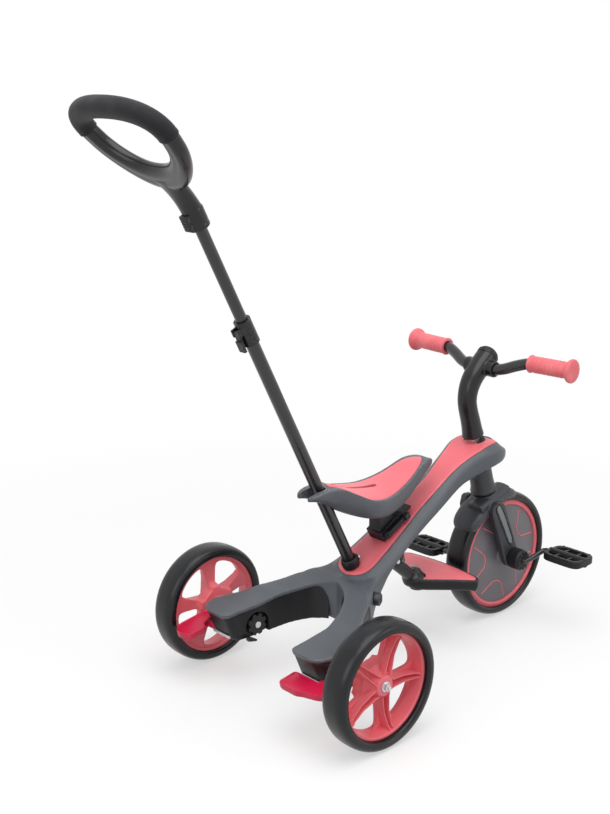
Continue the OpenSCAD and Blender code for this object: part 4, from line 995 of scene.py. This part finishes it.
def seat_shape():
    """The saddle at each x: a recess for the pad, a rolled brim, then sides that tuck in to the keel by powers of
    the cosine and sine of an angle."""
    x = np.sort(np.concatenate([spread(28, 350, 100), [90.3, 90.9, 320.2, 320.9]]))
    half, high, low = (curve(x, t) for t in (seat_half, seat_high, seat_low))
    low = np.minimum(low, high - 1)
    on_pad = (x > 90.6) & (x < 320.6)
    pad = np.minimum(np.where(on_pad, curve(x, pad_half) + 0.5, 0.3), half - 1)
    deep = np.where(on_pad, 3.4, 0.0)
    brim = np.minimum(2.8, half * 0.3)
    rim = [(pad - 0.2, high - 0.4 - deep), (pad, high - 0.4), (half - brim, high), (half - brim * 0.3, high - 0.8)]
    belly = [(half * 0.995 * math.cos(a) ** 0.62, low + (high - low) * 0.86 * (1 - math.sin(a) ** 0.62))
             for a in np.radians(np.linspace(0, 90, 14))]
    return skin(across(x, rings_along(rim + belly)))


def pad_shape():
    """The pad: a low crown across the saddle with a rounded edge that drops into the shell's recess."""
    x = spread(90.9, 320.2, 90)
    half, high = np.maximum(curve(x, pad_half) - 0.25, 0.6), curve(x, seat_high)
    soft, crown = np.minimum(1.6, half * 0.4), half * 0.13
    top = [(half * s, high + 0.2 + crown * (1 - s ** 2)) for s in np.linspace(0, 0.92, 12)]
    edge = [(half - soft * 0.3, high - 0.1), (half, high - 1), (half, high - 3.3)]
    return skin(across(x, rings_along(top + edge)))


half_turn = np.radians(np.linspace(-90, 90, 25))
notch_end = np.stack([12.8 * np.cos(half_turn), 12.8 * np.sin(half_turn)], -1)
notch = at_pole(slab(np.concatenate([notch_end, [[-70, 12.8], [-70, -12.8]]]), 110, 210))
shell_mesh = formed("seat_shell", seat_shape(), cuts=[notch])
piece("seat_shell", shell_mesh, frame_grey, "seat", crease=40)
slot_x = 101 + np.linspace(0, 1, 25) * 106
slot_half = np.minimum(1.2 + (slot_x - 101) * 0.05, 6.6 * np.sqrt(np.clip((208.5 - slot_x) / 9, 0, 1)))
slot_line = np.concatenate([np.stack([slot_x, slot_half], -1), np.stack([slot_x, -slot_half], -1)[::-1]])
pad_mesh = formed("seat_pad", pad_shape(), cuts=[slab(slot_line, 300, 390)])
piece("seat_pad", pad_mesh, coral, "seat", crease=45)
seat_x = np.linspace(99, 212, 40)
seat_z = curve(seat_x, seat_high) - 2.6
liner = rings_along([(0, seat_z), (8.0, seat_z), (8.0, seat_z - 0.8)])
piece("seat_slot_floor", skin(across(seat_x, liner)), black_plastic, "seat")
rounded_copy("seat_block", black_plastic, "seat", 1.0)
rounded_copy("seat_latch", black_plastic, "seat_latch", 1.2)
rounded_copy("seat_rail", black_plastic, "frame", 0.5)


# ---- Push pole ----
# Two black enamelled steel tubes, the upper sliding in the lower. A black plastic collar is pressed on the lower
# tube's end and a flip lever on its pin clamps the two together.
lower_tube = lathe([[9.6, -34], [11, -34], [11, 514], [10.6, 515], [9.6, 515]], 64, radius=0.3)
piece("pole_lower", at_pole(lower_tube), enamel, "frame")
upper_tube = cylinder(300, 716, 9.5, 64, bore=8.1, soft=0.3)
piece("pole_upper", at_pole(upper_tube), enamel, "telescope")
rounded_copy("pole_collar", gloss_black, "frame", 1.0)
rounded_copy("clip_lever", black_plastic, "clip_lever", 1.0)


# ---- Handle ----
# A closed loop on a hub that turns on the pole's end: a glossy black moulding with a soft, matt rubber grip over
# its far bar. A ribbed button at the back of the hub frees the turning.
loop_lean = math.radians(17)


def at_handle(shape):
    """Handle frame, turned a degree on the pole, to the tricycle's."""
    return at_pole(spun(shape, -1))


def in_loop(u, v, w):
    """Points of the leaning loop: u up it, v across it, w out of its plane."""
    return np.stack(np.broadcast_arrays(w * math.cos(loop_lean) - u * math.sin(loop_lean), v,
                                        726 + u * math.cos(loop_lean) + w * math.sin(loop_lean)), -1)


def loop_middle(t):
    """Middle line of the loop in its own plane at angle t: powers of the cosine and sine, wider at the far end."""
    return np.stack([133 + 69 * power(np.cos(t), 0.87), 95 * power(np.sin(t), 0.87) * (1 + 0.3 * np.cos(t))], -1)


def loop_bar(start, end, count, grow=0.0, groove=0.0):
    """The loop's bar from one angle to another: ovals round the middle line, broad where they meet the hub, grown
    by so much, with a shallow groove along the front and back faces."""
    t = np.radians(np.linspace(start, end, count))
    middle, way = loop_middle(t), loop_middle(t + 0.03) - loop_middle(t - 0.03)
    side, a = beside(way), around(56)
    half_w = 14 + np.cos(t) + 11 * ((1 - np.cos(t)) / 2) ** 4 + grow
    half_d = 12.5 + 0.5 * np.cos(t) + grow
    out = half_w[:, None] * power(np.cos(a), 0.9)
    up = half_d[:, None] * power(np.sin(a), 0.9) - groove * np.sign(np.sin(a)) * np.exp(-(np.cos(a) / 0.28) ** 2)
    return skin(in_loop(middle[:, :1] + side[:, :1] * out, middle[:, 1:] + side[:, 1:] * out, up))


def neck_shape():
    """The neck: ovals from the hub's round end, f = 0, to the loop's near bar, f = 1, along a slightly bowed
    line."""
    f, ring = np.linspace(0, 1, 13), oval(1, 1, 1.0, 56)
    tilt = np.stack([np.cos(loop_lean * f), 0 * f, np.sin(loop_lean * f)], -1)
    middle = (np.outer(1 - f, [0, 0, 718]) + np.outer(f, in_loop(np.array(64.0), 0.0, 0.0))
              + np.outer(3 * np.sin(math.pi * f), [1, 0, 0]))
    half_wide, half_deep = 16.5 + 15 * f ** 2, 16.5 - 4.5 * f
    return skin(middle[:, None] + half_wide[:, None, None] * ring[None, :, :1] * np.array([0, 1, 0])
                + half_deep[:, None, None] * ring[None, :, 1:] * tilt[:, None])


hub_ring = lathe([[0, 690], [15.6, 690], [17, 691.4], [17, 697], [16.4, 697.8], [16.4, 699], [17, 699.8], [17, 722],
                  [0, 722]], 72)
hub_room = together(cylinder(680, 717, 9.55), box_of((-25.5, -10.6), (-9.2, 9.2), (693.8, 720.2)))
handle_shape = together(loop_bar(70, 290, 120, groove=1.1), neck_shape(), hub_ring)
handle_mesh = formed("handle_body", at_handle(handle_shape), 1.1, cuts=[at_handle(hub_room)])
piece("handle_body", handle_mesh, gloss_black, "handle", crease=50)


def grip_foam():
    """Soft black grip: quite matt, with a fine pebbled skin, paler and glossier where hands have polished it."""
    f = Finish("soft_grip_rubber", sheen_weight=0.12, specular_ior_level=0.25)
    pebble, dust = f.grain(620, 3), f.grain(24, 4)
    base = f.mix(f.fade(dust, 0.45, 0.75), shade(30, 30, 33), shade(42, 42, 46))
    return f.put(base_color=base, roughness=0.72 - f.fade(dust, 0.5, 0.8) * 0.12, normal=f.bumps(pebble, 0.16))


soft_black = grip_foam()
ends = np.abs(np.linspace(-1, 1, 120))
grow = 1.6 - 1.5 * np.clip((ends - 0.985) / 0.015, 0, 1) ** 2 - 0.7 * np.exp(-((ends - 0.93) / 0.006) ** 2)
piece("handle_grip", at_handle(loop_bar(-78, 78, 120, grow)), soft_black, "handle", crease=60)
rounded_copy("handle_button", black_plastic, "handle_button", 0.5)


# ---- Footrest ----
# A winged tray, black with a coral mat let into it, on a glossy black post. The post turns on a steel pin between
# two ears under the beam, so the tray folds.
def tray_outline(inset):
    """The tray's edge, drawn in by an inset: a bowed front with rounded tips and a swept-back rear."""
    last = 97 - inset - 0.5
    y = last * np.sin(np.linspace(-math.pi / 2, math.pi / 2, 61))
    e = np.clip((np.abs(y) - 81) / (16 - inset + 0.01), 0, 1)
    front = 404 - 12 * (y / 97) ** 2 - inset - (16 - inset * 0.6) * (1 - np.sqrt(1 - e * e))
    rear = curve(np.abs(y), [[0, 296], [12, 297], [25, 306], [45, 327], [65, 348], [80, 362], [90, 371], [97, 379]])
    rear = np.minimum(rear + inset * 1.25, front - 2)
    return np.concatenate([np.stack([front, y], -1), np.stack([rear, y], -1)[::-1]])


def stacked(*levels):
    """A shape through the tray's edge at rows of (height, inset)."""
    return skin(np.stack([np.column_stack([tray_outline(inset), np.full(122, high)]) for high, inset in levels]))


tray = stacked((116, 8), (117, 5), (119, 2.6), (123, 0.8), (128, 0), (133, 0), (136, 0.9), (137.6, 2.4), (138, 4),
               (137.6, 5.4), (135, 5.8))
piece("footrest_tray", tray, black_plastic, "footrest", crease=40)


def tread(f):
    """Low ribs along the mat, one every 5 mm across it."""
    return f.fade((f.axis("Y") * (2 * math.pi / (5 * MM))).wave(), 0.1, 0.8), 0.3


coral_tread = moulded("coral_tread", CORAL, 0.42, extra=tread)
mat = stacked((135.1, 6.2), (137.6, 6.2), (138.5, 6.7), (138.9, 7.6))
piece("footrest_mat", mat, coral_tread, "footrest", crease=40)
hinge = (245, 0, 190)
hinge_barrel = lathe([[0, -16.2], [12.2, -16.2], [13, -15.2], [13, 15.2], [12.2, 16.2], [0, 16.2]], 72)
post_arm = rod([hinge, [283, 0, 158], [322, 0, 125]], 12, 40, hint=(0, 1, 0))
foot = lathe([[0, 111], [14, 111], [15, 112.4], [15, 127.6], [14, 129], [0, 129]], 64)
knee = lathe([[0, 133], [23, 133], [23, 138], [20, 142], [14, 147], [9, 154], [0, 156]], 64)
post_shape = together(put_at(hinge_barrel, hinge, ALONG_Y), post_arm, put_at(foot, (322, 0, 0)),
                      put_at(knee, (312, 0, 0)))
post_mesh = formed("footrest_post", post_shape, 1.0, 3, cuts=[put_at(cylinder(-20, 20, 4.05, 32), hinge, ALONG_Y)])
piece("footrest_post", post_mesh, gloss_black, "footrest", crease=50)
rounded_copy("footrest_bracket", black_plastic, "frame", 0.8)
rounded_copy("footrest_pin", zinc_steel, "frame", 0.4)
